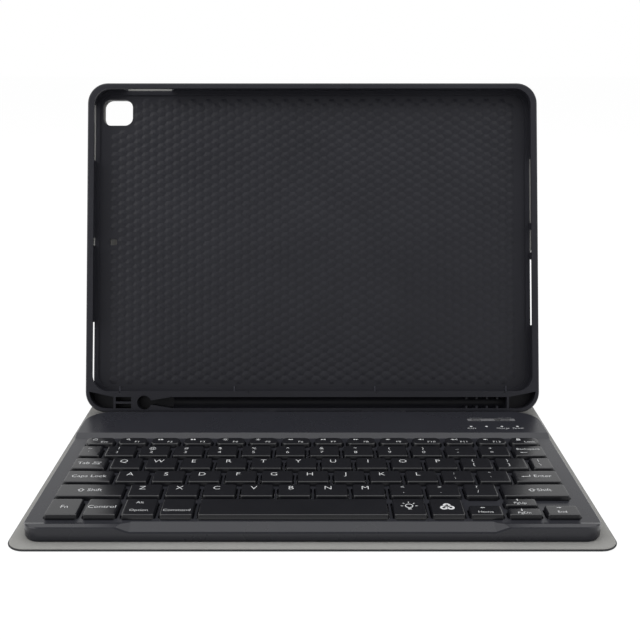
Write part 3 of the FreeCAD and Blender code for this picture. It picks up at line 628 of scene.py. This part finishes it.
def folded_layer(name, path, section, u0, u1, material):
    """One layer of the cover between two distances, with rounded corners at the cover's ends."""
    arc = [math.pi / 2 * step / COVER_CORNER_STEPS for step in range(COVER_CORNER_STEPS)]
    starts, ends = u0 <= 0, u1 >= path.length
    first = u0 + COVER_CORNER if starts else u0
    last = u1 - COVER_CORNER if ends else u1
    rows = [("run", u) for u in path.stations(first, last)]
    if starts:
        rows = [("start", angle) for angle in arc] + rows
    if ends:
        rows += [("end", angle) for angle in reversed(arc)]

    build = bmesh.new()
    rings = []
    for inset_mm, on_panel, in_fold in section:
        inset = inset_mm * MM
        inner = COVER_CORNER - inset
        ring = []
        for kind, value in rows:
            half = COVER_WIDTH / 2 - inset
            u = value
            if kind != "run":
                half = COVER_WIDTH / 2 - COVER_CORNER + inner * math.sin(value)
                gap = inset + inner * (1 - math.cos(value))
                u = u0 + gap if kind == "start" else u1 - gap
            n = (on_panel + (in_fold - on_panel) * path.thinness(u)) * MM
            ring.append([build.verts.new(path.place(side * half, u, n)) for side in (-1, 1)])
        rings.append(ring)
    steps = range(len(rows) - 1)
    for lower, upper in zip(rings, rings[1:]):
        for side in (0, 1):
            for k in steps:
                four = lower[k][side], lower[k + 1][side], upper[k + 1][side], upper[k][side]
                build.faces.new(four)
        for k in (0, -1):
            build.faces.new((*lower[k], upper[k][1], upper[k][0]))
    for ring in (rings[0], rings[-1]):
        for k in steps:
            build.faces.new((*ring[k], ring[k + 1][1], ring[k + 1][0]))
    return piece_from(name, build, [material], LAYER_SHARP)


WINDOW_HALF = Vector((8.85, 7.75)) * MM
WINDOW_RADIUS = 4.8 * MM
WINDOW_STEPS = 6
WINDOW_OVERLAP = 1.0 * MM  # what the cover shows inside the tray's window, on the left
CUT_REACH = 12 * MM


def window_middle():
    """The middle of the camera window, in the tray's plane."""
    low, high = (Vector(corner) for corner in OPENINGS["camera_window"])
    return (TRAY_PLANE.inverted() @ ((low + high) / 2)).to_2d()


def cut_window(piece):
    """Cuts the camera window along the tray's normal through a layer of the back."""
    low, high = window_middle() - WINDOW_HALF, window_middle() + WINDOW_HALF
    edge = (low.x + WINDOW_OVERLAP, high.x, low.y, high.y)
    build = bmesh.new()
    close_rings(build, [
        rounded_ring(build, edge, z, 0, WINDOW_RADIUS, WINDOW_STEPS)
        for z in (-CUT_REACH, CUT_REACH)
    ])
    build.transform(TRAY_PLANE)
    cutter = piece_from("window_cutter", build, [])
    cut = piece.modifiers.new("window", "BOOLEAN")
    cut.operation = "DIFFERENCE"
    cut.solver = "EXACT"
    cut.object = cutter
    take_modifiers(piece)
    bpy.data.objects.remove(cutter)


# The cover's three lengths: name, the bodies on both sides of its fold, the fold, its CAD panels
SPANS = (
    ("front", ("front_cover", "spine"), "front_fold", ("front_cover",)),
    ("spine", ("spine", "lower_back"), "rear_fold", ("spine", "lower_back")),
    ("back", ("lower_back", "upper_back"), "upper_fold", ("upper_back",)),
)


class CASE_OT_cover(bpy.types.Operator):
    """Make the leather skin and the brushed lining, bending over the three folds"""

    bl_idname = "case.cover"
    bl_label = "Cover"

    def execute(self, context):
        colours = context.scene.case_finish
        leather = finish("grained_leather", LEATHER, colours.leather)
        lining = finish("brushed_lining", LINING, colours.lining)
        path = FoldedPath()
        marks = (0.0, path.middle_of(0), path.middle_of(1), path.length)
        for layer, node, slot, section, material in (
            ("leather", "_skin", "cover_leather", LEATHER_SECTION, leather),
            ("lining", "_lining", "lining_fabric", LINING_SECTION, lining),
        ):
            for number, (part, bodies, fold, panels) in enumerate(SPANS):
                u0, u1 = marks[number:number + 2]
                piece = folded_layer(layer + "_" + part, path, section, u0, u1, material)
                if part == "back":
                    cut_window(piece)
                entry, leave = path.fold_ends(number)
                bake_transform(piece)
                hidden = [panel + node for panel in panels]
                if layer == "leather":
                    hidden.insert(1, fold)
                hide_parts(*hidden)
        return {"FINISHED"}


# Tablet tray, with places from the middle of its seat

TRAY_HEIGHT = 174.5 * MM
MICROPHONE = Vector((-115.0, -0.65)) * MM
RIB_PLACES = (-110.5, -44.9, 35.9, 111.2)
RIB_LOW = Vector((-0.25, -87.1, -0.2)) * MM
RIB_HIGH = Vector((0.25, -83.8, 1.0)) * MM
# The ribs' colour is the tray's times this: a painted highlight for the light their thin edges
# catch
RIB_HIGHLIGHT_GAIN = 3
RELIEF_MARGIN = 5.0 * MM
RELIEF_ROW = math.sqrt(3) / 6  # from row to row, as a share of the pitch
RELIEF_SIDES = 6
RELIEF_FOOT = 0.315  # a bump's foot, as a share of the pitch
RELIEF_TOP = 0.3  # a bump's top, as a share of its foot
WINDOW_CLEAR = 10.6 * MM  # half of the plain patch round the camera window
HOLE_CLEAR = 3.6 * MM  # half of the plain patch round the microphone hole


def relief_tree():
    """Low six-sided bumps in staggered rows on a rectangle, left out round two openings."""
    tree, sockets, given = geometry_tree(
        "hexagon_relief",
        Float=(
            "Width", "Height", "Pitch", "Radius", "Relief", "Window X", "Window Y", "Window Half",
            "Hole X", "Hole Y", "Hole Half",
        ),
        Int=("Columns", "Rows"),
        Material=("Material",),
    )
    grid = add_node(
        tree, "GeometryNodeMeshGrid", "Mesh", Size_X=given["Width"], Size_Y=given["Height"],
        Vertices_X=given["Columns"], Vertices_Y=given["Rows"]
    )
    index = add_node(tree, "GeometryNodeInputIndex", "Index")
    odd = math_node(tree, "MODULO", math_node(tree, "MODULO", index, given["Rows"]), 2)
    step = math_node(tree, "MULTIPLY", odd, math_node(tree, "MULTIPLY", given["Pitch"], 0.5))
    offset = add_node(tree, "ShaderNodeCombineXYZ", "Vector", X=step)
    points = add_node(tree, "GeometryNodeSetPosition", "Geometry", Geometry=grid, Offset=offset)
    place = add_node(tree, "GeometryNodeInputPosition", "Position")
    spot = add_node(tree, "ShaderNodeSeparateXYZ", "X", Vector=place).node.outputs
    for opening in ("Window", "Hole"):
        inside = []
        for axis in ("X", "Y"):
            away = math_node(tree, "SUBTRACT", spot[axis], given[opening + " " + axis])
            away = math_node(tree, "ABSOLUTE", away)
            inside.append(math_node(tree, "LESS_THAN", away, given[opening + " Half"]))
        points = add_node(
            tree, "GeometryNodeDeleteGeometry", "Geometry", {"domain": "POINT"},
            Geometry=points, Selection=math_node(tree, "MULTIPLY", *inside)
        )

    top = math_node(tree, "MULTIPLY", given["Radius"], RELIEF_TOP)
    bump = cone_node(tree, RELIEF_SIDES, given["Radius"], top, given["Relief"], 1)
    set_on_points(tree, points, bump, given["Material"])
    return tree, sockets


def add_ribs(piece, material):
    """Stands the ribs at the foot of the tray's floor, lighter than the tray: a painted highlight
    for the light their thin edges catch.
    """
    piece.data.materials.append(material)
    build = bmesh.new()
    build.from_mesh(piece.data)
    for place in RIB_PLACES:
        shift = Vector((place * MM, 0, 0))
        add_block(build, RIB_LOW + shift, RIB_HIGH + shift, len(piece.data.materials) - 1)
    build.to_mesh(piece.data)
    build.free()


class CASE_OT_tray(bpy.types.Operator):
    """Dress the tray and raise the six-sided relief and the ribs on its floor"""

    bl_idname = "case.tray"
    bl_label = "Tablet tray"

    def execute(self, context):
        colours = context.scene.case_finish
        detail = context.scene.case_detail
        material = finish("satin_tray", TRAY, colours.tray)
        dress_node("tablet_tray", material, NODE_SHARP)

        bay_left = OPENINGS["tablet_bay_2"][0][0]
        pitch = detail.relief_pitch
        row_step = pitch * RELIEF_ROW
        columns = int((-2 * bay_left - 2 * RELIEF_MARGIN) / pitch)
        rows = int((TRAY_HEIGHT - 2 * RELIEF_MARGIN) / row_step)
        centring = pitch * 0.25  # odd rows stand half a pitch to the right
        window = window_middle()
        piece = add_object("tray_relief", bpy.data.meshes.new("tray_relief"))
        run_tree(piece, *relief_tree(), {
            "Width": (columns - 1) * pitch,
            "Height": (rows - 1) * row_step,
            "Pitch": pitch,
            "Columns": columns,
            "Rows": rows,
            "Radius": pitch * RELIEF_FOOT,
            "Relief": detail.relief_height,
            "Window X": window.x + centring,
            "Window Y": window.y,
            "Window Half": WINDOW_CLEAR,
            "Hole X": MICROPHONE.x + centring,
            "Hole Y": MICROPHONE.y,
            "Hole Half": HOLE_CLEAR,
            "Material": material,
        })
        piece.data.transform(Matrix.Translation((-centring, 0, 0)))
        # The ribs are painted lighter than the tray: a painted highlight for the light on their
        # edges
        add_ribs(piece, finish("rib_painted_highlight", PLAIN, [part * RIB_HIGHLIGHT_GAIN for part in colours.tray]))
        piece.data.transform(TRAY_PLANE)
        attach(piece, "upper_back")
        return {"FINISHED"}


# Keys

KEY_NODES = tuple(
    node for node in frame["nodes"] if node.startswith("key_") or node.endswith("_keys")
)
KEY_CORNER = 1.1 * MM
FUNCTION_CORNER = 2.6 * MM
# Rings of a cap: share of its height, and inset in millimetres
CAP_SECTION = ((0.0, 0.0), (0.86, 0.0), (0.95, 0.08), (0.99, 0.24), (1.0, 0.5), (1.0, 1.1))


def outline(points):
    """The least and greatest X, and the least and greatest Y."""
    xs, ys = [p.x for p in points], [p.y for p in points]
    return min(xs), max(xs), min(ys), max(ys)


class KeyShape:
    """One key's outline at its foot and at its top."""

    def __init__(self, points):
        self.low = min(p.z for p in points)
        self.high = max(p.z for p in points)
        middle = (self.low + self.high) / 2
        self.foot = outline([p for p in points if p.z < middle])
        self.top = outline([p for p in points if p.z > middle])
        left, right, front, back = self.top
        self.x = (left + right) / 2
        self.y = (front + back) / 2
        self.width = right - left
        self.depth = back - front

    def covers(self, point):
        x0, x1, y0, y1 = self.foot
        return x0 < point.x < x1 and y0 < point.y < y1

    def add_cap(self, build, radius, steps):
        """Rings from the foot to a softly broken top edge."""
        rings = []
        for share, inset in CAP_SECTION:
            z = self.low + (self.high - self.low) * share
            edge = [a + (b - a) * share for a, b in zip(self.foot, self.top)]
            rings.append(rounded_ring(build, edge, z, inset * MM, radius, steps))
        close_rings(build, rings)


def key_shapes(node):
    return [KeyShape(points) for points in node_islands(node)]


INK = 1  # the legends' place among a key's materials
INK_SINK = 0.02 * MM
INK_RISE = 0.025 * MM
LETTER_STRETCH = 1.1
LETTER_THINNING = 0.011
LETTER_STEPS = 3
THIN = 0.3  # strokes in millimetres
MEDIUM = 0.32
THICK = 0.4
RING_SIDES = 12
WIDE_RING_SIDES = 20
LINE_OVERLAP = 0.6  # share of a line's width by which its strokes overlap
ARROW_HEAD = ((0.55, 0.0), (0.5, 2.3), (0.5, -2.3))  # shares of its size, and angles
POINTER_HEAD = 1.3
POINTER_STEM = 0.7  # share of a pointer's length
STEM_PLACE, HEAD_PLACE = -0.3, 0.6  # shares of its half length
# Places on a key's top, as shares of its half width and half depth
LETTER_PLACE = (-0.22, 0.36)
UPPER_PLACE = (-0.2, 0.5)
LOWER_PLACE = (-0.2, -0.28)
ARROW_WORD = 0.95  # share of a small legend's size


class Pen(NamedTuple):
    """Draws flat closed signs on an upper face, in millimetres from a point on it."""

    build: bmesh.types.BMesh
    x: float
    y: float
    z: float

    def ring_at(self, points, level):
        return [
            self.build.verts.new((self.x + x * MM, self.y + y * MM, self.z + level))
            for x, y in points
        ]

    def text(self, words, size):
        """Thin letters, a little wide, of a size in metres."""
        curve = bpy.data.curves.new("legend", "FONT")
        curve.body = words
        curve.size = size
        curve.align_x = "CENTER"
        curve.align_y = "CENTER"
        curve.resolution_u = LETTER_STEPS
        curve.offset = -LETTER_THINNING * size
        curve.extrude = (INK_SINK + INK_RISE) / 2
        holder = add_object("legend", curve)
        letters = evaluated_mesh(holder)
        place = Matrix.Translation((self.x, self.y, self.z + (INK_RISE - INK_SINK) / 2))
        letters.transform(place @ Matrix.Diagonal((LETTER_STRETCH, 1, 1, 1)))
        before = len(self.build.faces)
        self.build.from_mesh(letters)
        self.build.faces.ensure_lookup_table()
        for face in self.build.faces[before:]:
            face.material_index = INK
        bpy.data.objects.remove(holder)
        bpy.data.curves.remove(curve)
        bpy.data.meshes.remove(letters)

    def shape(self, points):
        """A sign filled to its outline."""
        rings = [self.ring_at(points, level) for level in (-INK_SINK, INK_RISE)]
        close_rings(self.build, rings, INK)

    def bar(self, x, y, length, width, angle=0.0):
        """A straight stroke centred on a point."""
        middle = Vector((x, y))
        run, rise = heading(angle) * length / 2, across(angle) * width / 2
        self.shape((
            middle - run - rise, middle + run - rise, middle + run + rise, middle - run + rise
        ))

    def circle(self, x, y, radius, stroke, sides=RING_SIDES):
        """A ring drawn as a closed band."""
        turns = [heading(2 * math.pi * side / sides) for side in range(sides)]
        inner = radius - stroke
        section = (
            (radius, -INK_SINK), (radius, INK_RISE), (inner, INK_RISE), (inner, -INK_SINK)
        )
        loops = [
            self.ring_at([Vector((x, y)) + turn * reach for turn in turns], level)
            for reach, level in section
        ]
        for lower, upper in zip(loops, loops[1:] + loops[:1]):
            for face in band_faces(self.build, lower, upper):
                face.material_index = INK

    def line(self, points, width):
        """A stroke along a row of points."""
        for a, b in zip(points, points[1:]):
            run = Vector(b) - Vector(a)
            x, y = (Vector(a) + Vector(b)) / 2
            self.bar(x, y, run.length + width * LINE_OVERLAP, width, math.atan2(run.y, run.x))

    def arrow(self, x, y, size, angle):
        """A solid arrowhead that points along an angle."""
        middle = Vector((x, y))
        self.shape([
            middle + heading(angle + turn) * size * reach
            for reach, turn in ARROW_HEAD
        ])

    def pointer(self, x, y, length, angle):
        """An arrow with a stem."""
        middle, reach = Vector((x, y)), heading(angle) * length / 2
        self.bar(*middle + reach * STEM_PLACE, length * POINTER_STEM, THIN, angle)
        self.arrow(*middle + reach * HEAD_PLACE, POINTER_HEAD, angle)


class Legends(NamedTuple):
    """Places the legends of one key by shares of its top's half width and half depth."""

    build: bmesh.types.BMesh
    key: KeyShape
    detail: CaseDetail

    def pen(self, right=0.0, up=0.0):
        key = self.key
        x, y = key.x + key.width * right / 2, key.y + key.depth * up / 2
        return Pen(self.build, x, y, key.high)

    def text(self, words, size, right=0.0, up=0.0):
        self.pen(right, up).text(words, size)

    def small(self, words, right=0.0, up=0.0):
        self.text(words, self.detail.small, right, up)

    def letter_or_pair(self, signs):
        """A letter, or a sign below the one that Shift gives."""
        if len(signs) == 1:
            self.text(signs, self.detail.letter, *LETTER_PLACE)
            return
        lower, upper = signs
        self.text(upper, self.detail.pair, *UPPER_PLACE)
        self.text(lower, self.detail.pair, *LOWER_PLACE)


FUNCTION_NAMES = ("Esc", *("F" + str(number) for number in range(1, 13)), "Lock")
ROW_SIGNS = {
    "number_row_keys": (
        "`~", "1!", "2@", "3#", "4$", "5%", "6^", "7&", "8*", "9(", "0)", "-_", "=+",
    ),
    "upper_letter_keys": (*"QWERTYUIOP", "[{", "]}", "\\|"),
    "home_letter_keys": (*"ASDFGHJKL", ";:", "'\""),
    "lower_letter_keys": (*"ZXCVBNM", ",<", ".>", "/?"),
}
WORDS = {
    "key_caps_lock": ("Caps Lock", 0.0),
    "key_enter": ("Enter", 0.27),
    "key_left_shift": ("Shift", 0.12),
    "key_right_shift": ("Shift", 0.3),
    "key_tab": ("Tab", -0.38),
    "key_fn": ("Fn", 0.0),
    "key_control": ("Control", 0.0),
}
ARROW_KEYS = {
    "key_left": ("Home", math.pi),
    "key_right": ("End", 0.0),
    "key_up": ("PgUp", math.pi / 2),
    "key_down": ("PgDn", -math.pi / 2),
}
SHIFT_PLACES = {"key_left_shift": -0.3, "key_right_shift": -0.08}
HOUSE = ((-1.0, -0.8), (-1.0, 0.2), (0.0, 0.9), (1.0, 0.2), (1.0, -0.8), (-1.0, -0.8))
SHIFT_ARROW = (
    (0.0, 1.3), (-1.5, 0.0), (-0.75, 0.0), (-0.75, -1.1),
    (0.75, -1.1), (0.75, 0.0), (1.5, 0.0), (0.0, 1.3),
)


def draw_function_key(legends, number, name):
    pen = legends.pen(-0.4, 0.4)
    if name == "Lock":
        pen.bar(0, -0.3, 2.0, 1.4)
        pen.circle(0, 0.6, 0.8, THIN)
    elif name == "Esc":
        pen.line(HOUSE, THIN)
    else:
        draw_media_sign(pen, number)
    legends.small(name, 0.34, -0.35)


def draw_media_sign(pen, number):
    """Small plain signs for search, windows, brightness, playing and sound."""
    if number == 1:
        pen.circle(0, 0.2, 0.8, THIN)
        pen.bar(0.9, -0.7, 1.0, THIN, -math.pi / 4)
    elif number in (2, 3):
        for x in (-0.7, 0.7):
            pen.bar(x, 0, 1.0, 1.2)
    elif number in (4, 5):
        size = 0.55 if number == 5 else 0.75
        pen.circle(0, 0, size, THIN)
        for turn in range(8):
            angle = math.pi / 4 * turn
            pen.bar(*heading(angle) * (size + 0.5), 0.35, 0.2, angle)
    elif number in (6, 8):
        for x in (-0.6, 0.6):
            pen.arrow(x, 0, 1.5, math.pi if number == 6 else 0)
    elif number == 7:
        pen.arrow(-0.6, 0, 1.5, 0)
        for x in (0.5, 1.0):
            pen.bar(x, 0, THIN, 1.3)
    else:
        pen.arrow(-0.4, 0, 1.8, math.pi)
        for wave in range(number % 3 + 1):
            pen.bar(0.7 + 0.6 * wave, 0, 0.25, 0.9 + 0.5 * wave)


def draw_bulb(pen):
    middle = Vector((0, 0.7))
    pen.circle(*middle, 1.8, THICK, WIDE_RING_SIDES)
    for drop in (1.6, 2.3):
        pen.bar(0, -drop, 1.5, THICK)
    for turn in range(5):
        angle = math.pi / 4 * turn
        pen.bar(*middle + heading(angle) * 3.2, 1.0, THICK, angle)


def draw_single_key(name, legends):
    if name in WORDS:
        word, right = WORDS[name]
        legends.text(word, legends.detail.word, right)
    if name in SHIFT_PLACES:
        legends.pen(SHIFT_PLACES[name]).line(SHIFT_ARROW, MEDIUM)
    elif name == "key_tab":
        pen = legends.pen(0.42)
        for y, angle in ((0.9, math.pi), (-0.9, 0.0)):
            pen.pointer(0, y, 4.2, angle)
    elif name == "key_enter":
        pen = legends.pen(-0.5)
        pen.pointer(0, -0.4, 4.6, math.pi)
        pen.bar(2.0, 0.4, 1.7, MEDIUM, math.pi / 2)
    elif name == "key_backspace":
        legends.small("Backspace", 0.0, 0.35)
        legends.pen(-0.4, -0.35).pointer(0, 0, 3.6, math.pi)
    elif name == "key_option":
        legends.small("Alt", -0.08, 0.52)
        legends.small("Option", 0.0, -0.42)
    elif name == "key_command":
        legends.small("Command", 0.0, -0.42)
    elif name == "key_backlight":
        draw_bulb(legends.pen())
    elif name == "key_colour":
        for x, y in ((0.0, 1.2), (-1.5, -0.9), (1.5, -0.9)):
            legends.pen().circle(x, y, 1.7, 1.0, WIDE_RING_SIDES)
    elif name in ARROW_KEYS:
        word, angle = ARROW_KEYS[name]
        legends.pen(-0.15, 0.55).pointer(0, 0, 1.8, angle)
        legends.text(word, legends.detail.small * ARROW_WORD, -0.05, -0.36)


class CASE_OT_keys(bpy.types.Operator):
    """Make the key caps with their legends, one piece for each moving body"""

    bl_idname = "case.keys"
    bl_label = "Keys"

    def execute(self, context):
        colours = context.scene.case_finish
        detail = context.scene.case_detail
        cap = finish("satin_key", KEY, colours.key)
        ink = finish("legend_white", LEGEND, colours.legend)
        for node in KEY_NODES:
            build = bmesh.new()
            shapes = key_shapes(node)
            radius = FUNCTION_CORNER if node == "function_row_keys" else KEY_CORNER
            for shape in shapes:
                shape.add_cap(build, radius, detail.corner_steps)
            keys = [Legends(build, shape, detail) for shape in shapes]
            if node == "function_row_keys":
                for number, (name, legends) in enumerate(zip(FUNCTION_NAMES, keys)):
                    draw_function_key(legends, number, name)
            elif node in ROW_SIGNS:
                for signs, legends in zip(ROW_SIGNS[node], keys):
                    legends.letter_or_pair(signs)
            else:
                draw_single_key(node, keys[0])
            piece = piece_from("caps_" + node, build, [cap, ink], CAP_SHARP)
            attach(piece, node)
            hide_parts(node)
        return {"FINISHED"}


# Rubber domes

DOME_FOOT = 2.2 * MM
DOME_TOP = 1.1 * MM
DOME_SIDES = 14
DOME_RINGS = 3
DOME_COLOUR = (0.6, 0.6, 0.6)


def dome_tree():
    """A rubber cone with a flat top on each point."""
    tree, sockets, given = geometry_tree(
        "dome_field",
        Geometry=("Geometry",),
        Float=("Foot Radius", "Top Radius", "Height"),
        Int=("Sides",),
        Material=("Material",),
    )
    sizes = (given[label] for label in ("Sides", "Foot Radius", "Top Radius", "Height"))
    set_on_points(tree, given["Geometry"], cone_node(tree, *sizes, DOME_RINGS), given["Material"])
    return tree, sockets


class CASE_OT_domes(bpy.types.Operator):
    """Set a rubber dome under each key"""

    bl_idname = "case.domes"
    bl_label = "Rubber domes"

    def execute(self, context):
        tree, sockets = dome_tree()
        low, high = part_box("rubber_domes")
        height = high.z - low.z
        values = {
            "Foot Radius": DOME_FOOT,
            "Top Radius": DOME_TOP,
            "Height": height,
            "Sides": DOME_SIDES,
            "Material": finish("dome_silicone", PLAIN, DOME_COLOUR, roughness=0.7),
        }
        middles = [sum(points, Vector()) / len(points) for points in node_islands("rubber_domes")]
        for node in KEY_NODES:
            shapes = key_shapes(node)
            feet = [
                (middle.x, middle.y, low.z) for middle in middles
                if any(shape.covers(middle) for shape in shapes)
            ]
            if not feet:
                raise RuntimeError("no dome lies under " + node)
            mesh = bpy.data.meshes.new("domes_" + node)
            mesh.from_pydata(feet, [], [])
            piece = add_object("domes_" + node, mesh)
            run_tree(piece, tree, sockets, values)
            smooth_by_angle(piece.data, DOME_SHARP)
            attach(piece, "keyboard")
            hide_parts("rubber_domes")
            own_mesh(piece)
        return {"FINISHED"}


# Keyboard case

SWITCH_WORD = 1.7 * MM
SWITCH_WORD_SIDE = 5.0 * MM
SWITCH_WORD_BEHIND = 1.1 * MM
LIGHT_WORD = 2.1 * MM
LIGHT_WORD_FRONT = 1.7 * MM
LIGHT_WORDS = ("Caps", "", "Charge", "Power")
CONTROL_DARKER = 0.7
# Parts in fixed colours: finish, surface, colour, changed values, sharp angle, and nodes
FIXED_PARTS = (
    ("battery_foil", METAL, (0.5, 0.5, 0.52), {}, NODE_SHARP, ("battery",)),
    ("frosted_light", PLAIN, (0.66, 0.67, 0.69), {}, NODE_SHARP, ("indicator_lights",)),
    ("clear_adhesive", PLAIN, (0.4, 0.4, 0.4), {"roughness": 0.3}, None, ("tray_adhesive",)),
    ("plated_steel", METAL, (0.55, 0.55, 0.57), {"roughness": 0.32}, None,
     ("charge_socket", "keyboard_magnets", "front_cover_magnets")),
    ("plate_alloy", METAL, (0.6, 0.6, 0.62), {"roughness": 0.4}, None, ("support_plate",)),
    ("clear_sheet", PLAIN, (0.62, 0.64, 0.65), {"roughness": 0.3}, None,
     ("light_guide", "membrane")),
    ("green_lacquer", PLAIN, (0.02, 0.12, 0.05), {"roughness": 0.35}, None, ("circuit_board",)),
    ("grey_board", PLAIN, (0.22, 0.21, 0.19), {"roughness": 0.9, "spread": 0.2}, None,
     ("front_cover_board", "spine_board", "lower_back_board", "upper_back_board")),
)


def add_bar_labels(bezel, ink):
    """Small words beside the switch, the button and the indicator lights."""
    build = bmesh.new()
    low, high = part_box("switch_bezel")
    places = (("Connect", low.x + SWITCH_WORD_SIDE), ("ON  OFF", high.x - SWITCH_WORD_SIDE))
    for words, x in places:
        Pen(build, x, high.y + SWITCH_WORD_BEHIND, high.z).text(words, SWITCH_WORD)
    for face in build.faces:
        face.material_index = 0
    for word, points in zip(LIGHT_WORDS, node_islands("indicator_lights")):
        if word:
            middle = sum(p.x for p in points) / len(points)
            front = min(p.y for p in points)
            Pen(build, middle, front - LIGHT_WORD_FRONT, high.z).text(word, LIGHT_WORD)
    piece = piece_from("bar_labels", build, [bezel, ink])
    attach(piece, "keyboard")


class CASE_OT_keyboard(bpy.types.Operator):
    """Dress the keyboard's case and controls, and the parts in fixed colours"""

    bl_idname = "case.keyboard"
    bl_label = "Keyboard case"

    def execute(self, context):
        colours = context.scene.case_finish
        deck = finish("satin_deck", DECK, colours.deck)
        bezel = finish("bezel_grey", BEZEL, colours.bezel)
        control = finish("control_grey", PLAIN, [part * CONTROL_DARKER for part in colours.bezel])
        dress_node("keyboard_top_case", deck, BAR_SHARP)
        dress_node("keyboard_bottom_case", deck, NODE_SHARP)
        dress_node("switch_bezel", bezel)
        dress_node("power_switch", control)
        dress_node("pair_button", control)
        add_bar_labels(bezel, finish("legend_white", LEGEND, colours.legend))
        for name, surface, colour, changes, sharp, nodes in FIXED_PARTS:
            material = finish(name, surface, colour, **changes)
            for node in nodes:
                dress_node(node, material, sharp)
        return {"FINISHED"}


# Stage

FLOOR_REACH = 8.0
FLOOR_DROP = 0.2 * MM
FLOOR_ROUGHNESS = 0.9
FLOOR_GLOW = 1.1
FLOOR_GLOW_SHARE = 0.85
ROOM_LEVEL = 0.4
BACKDROP_LEVEL = 1.0
BACKDROP_EDGE = (-0.4, 0.2)  # where the room turns into the backdrop, from front to back
SENSOR_WIDTH = 36.0
CLIP_START = 0.01
# Name, place, target, width and height in metres, and power
LIGHTS = (
    ("overhead", (0.0, 0.05, 1.3), (0, 0.05, 0), (1.8, 1.4), 11),
    ("left_panel", (-1.1, -0.5, 0.8), (0, 0, 0.06), (0.8, 0.8), 5),
    ("right_panel", (1.1, -0.3, 0.9), (0, 0, 0.06), (0.8, 0.8), 3),
)


def add_light(name, place, target, size, power):
    lamp = bpy.data.lights.new(name, "AREA")
    lamp.shape = "RECTANGLE"
    lamp.size, lamp.size_y = size
    lamp.energy = power
    holder = add_object(name, lamp)
    holder.location = place
    aim = Vector(target) - Vector(place)
    holder.rotation_euler = aim.to_track_quat("-Z", "Y").to_euler()


def add_camera(scene, stage):
    camera = bpy.data.cameras.new("camera")
    camera.lens = stage.focal
    camera.sensor_width = SENSOR_WIDTH
    camera.shift_x = stage.shift
    camera.clip_start = CLIP_START
    holder = add_object("camera", camera)
    holder.location = (0, -stage.back, stage.height)
    holder.rotation_euler = (math.pi / 2 - stage.pitch, 0, 0)
    scene.camera = holder


def mirror_rays(tree):
    """The light path's outputs, and 1 for what is seen in a mirror or through glass."""
    rays = tree.nodes.new("ShaderNodeLightPath").outputs
    mirrored = math_node(tree, "MAXIMUM", rays["Is Glossy Ray"], rays["Is Transmission Ray"])
    return rays, mirrored


def studio_level(tree):
    """The room's level, rising to the white backdrop where it is seen straight or in a mirror."""
    direction = add_node(tree, "ShaderNodeTexCoord", "Generated")
    away = add_node(tree, "ShaderNodeSeparateXYZ", "Y", Vector=direction)
    behind = range_node(tree, away, BACKDROP_EDGE, (0.0, 1.0))
    rays, mirrored = mirror_rays(tree)
    mirrored = math_node(tree, "MULTIPLY", mirrored, behind)
    seen = math_node(tree, "MAXIMUM", rays["Is Camera Ray"], mirrored)
    return range_node(tree, seen, (0.0, 1.0), (ROOM_LEVEL, BACKDROP_LEVEL))


def floor_finish(colour):
    """Pale floor that keeps a faint shadow and shows as white."""
    material = bpy.data.materials.new("pale_floor")
    material.use_nodes = True
    tree = material.node_tree
    shader = tree.nodes["Principled BSDF"]
    shader.inputs["Base Color"].default_value = (*colour, 1)
    shader.inputs["Roughness"].default_value = FLOOR_ROUGHNESS
    glow = add_node(tree, "ShaderNodeEmission", "Emission", Strength=FLOOR_GLOW)
    blend = tree.nodes.new("ShaderNodeMixShader")
    rays, mirrored = mirror_rays(tree)
    seen = math_node(tree, "MAXIMUM", rays["Is Camera Ray"], mirrored)
    share = math_node(tree, "MULTIPLY", seen, FLOOR_GLOW_SHARE)
    for value, socket in zip((share, shader.outputs["BSDF"], glow), blend.inputs):
        tree.links.new(value, socket)
    tree.links.new(blend.outputs["Shader"], tree.nodes["Material Output"].inputs["Surface"])
    return material


class CASE_OT_stage(bpy.types.Operator):
    """Set the pale floor, the soft light and the camera"""

    bl_idname = "case.stage"
    bl_label = "Stage"

    def execute(self, context):
        scene = context.scene
        stage = scene.case_stage
        scene.view_settings.view_transform = "Standard"
        add_camera(scene, stage)

        build = bmesh.new()
        build.faces.new([
            build.verts.new((x * FLOOR_REACH, y * FLOOR_REACH, -FLOOR_DROP))
            for x, y in ((-1, -1), (1, -1), (1, 1), (-1, 1))
        ])
        piece_from("floor", build, [floor_finish(stage.floor)])

        scene.world = bpy.data.worlds.new("studio")
        scene.world.use_nodes = True
        tree = scene.world.node_tree
        shade = tree.nodes["Background"].inputs
        tree.links.new(studio_level(tree), shade["Strength"])
        shade["Color"].default_value = (1, 1, 1, 1)
        for light in LIGHTS:
            add_light(*light)
        return {"FINISHED"}


class CASE_PT_panel(bpy.types.Panel):
    """Lists the makers of the case's pieces"""

    bl_idname = "CASE_PT_panel"
    bl_label = "Tablet keyboard case"
    bl_space_type = "VIEW_3D"
    bl_region_type = "UI"
    bl_category = "Case"

    def draw(self, context):
        for operator in OPERATORS:
            self.layout.operator(operator.bl_idname)
        for group in SETTINGS:
            values = getattr(context.scene, group)
            for name in values.__annotations__:
                self.layout.prop(values, name)


OPERATORS = (
    CASE_OT_cover, CASE_OT_tray, CASE_OT_keys, CASE_OT_domes, CASE_OT_keyboard, CASE_OT_stage,
)
SETTINGS = {"case_finish": CaseFinish, "case_detail": CaseDetail, "case_stage": CaseStage}
CLASSES = (*SETTINGS.values(), *OPERATORS, CASE_PT_panel)


def register():
    for cls in CLASSES:
        bpy.utils.register_class(cls)
    for name, cls in SETTINGS.items():
        setattr(bpy.types.Scene, name, PointerProperty(type=cls))


def unregister():
    for name in SETTINGS:
        delattr(bpy.types.Scene, name)
    for cls in reversed(CLASSES):
        bpy.utils.unregister_class(cls)


def main():
    register()
    bpy.ops.case.cover()
    bpy.ops.case.tray()
    bpy.ops.case.keys()
    bpy.ops.case.domes()
    bpy.ops.case.keyboard()
    bpy.ops.case.stage()


if __name__ == "__main__":
    main()
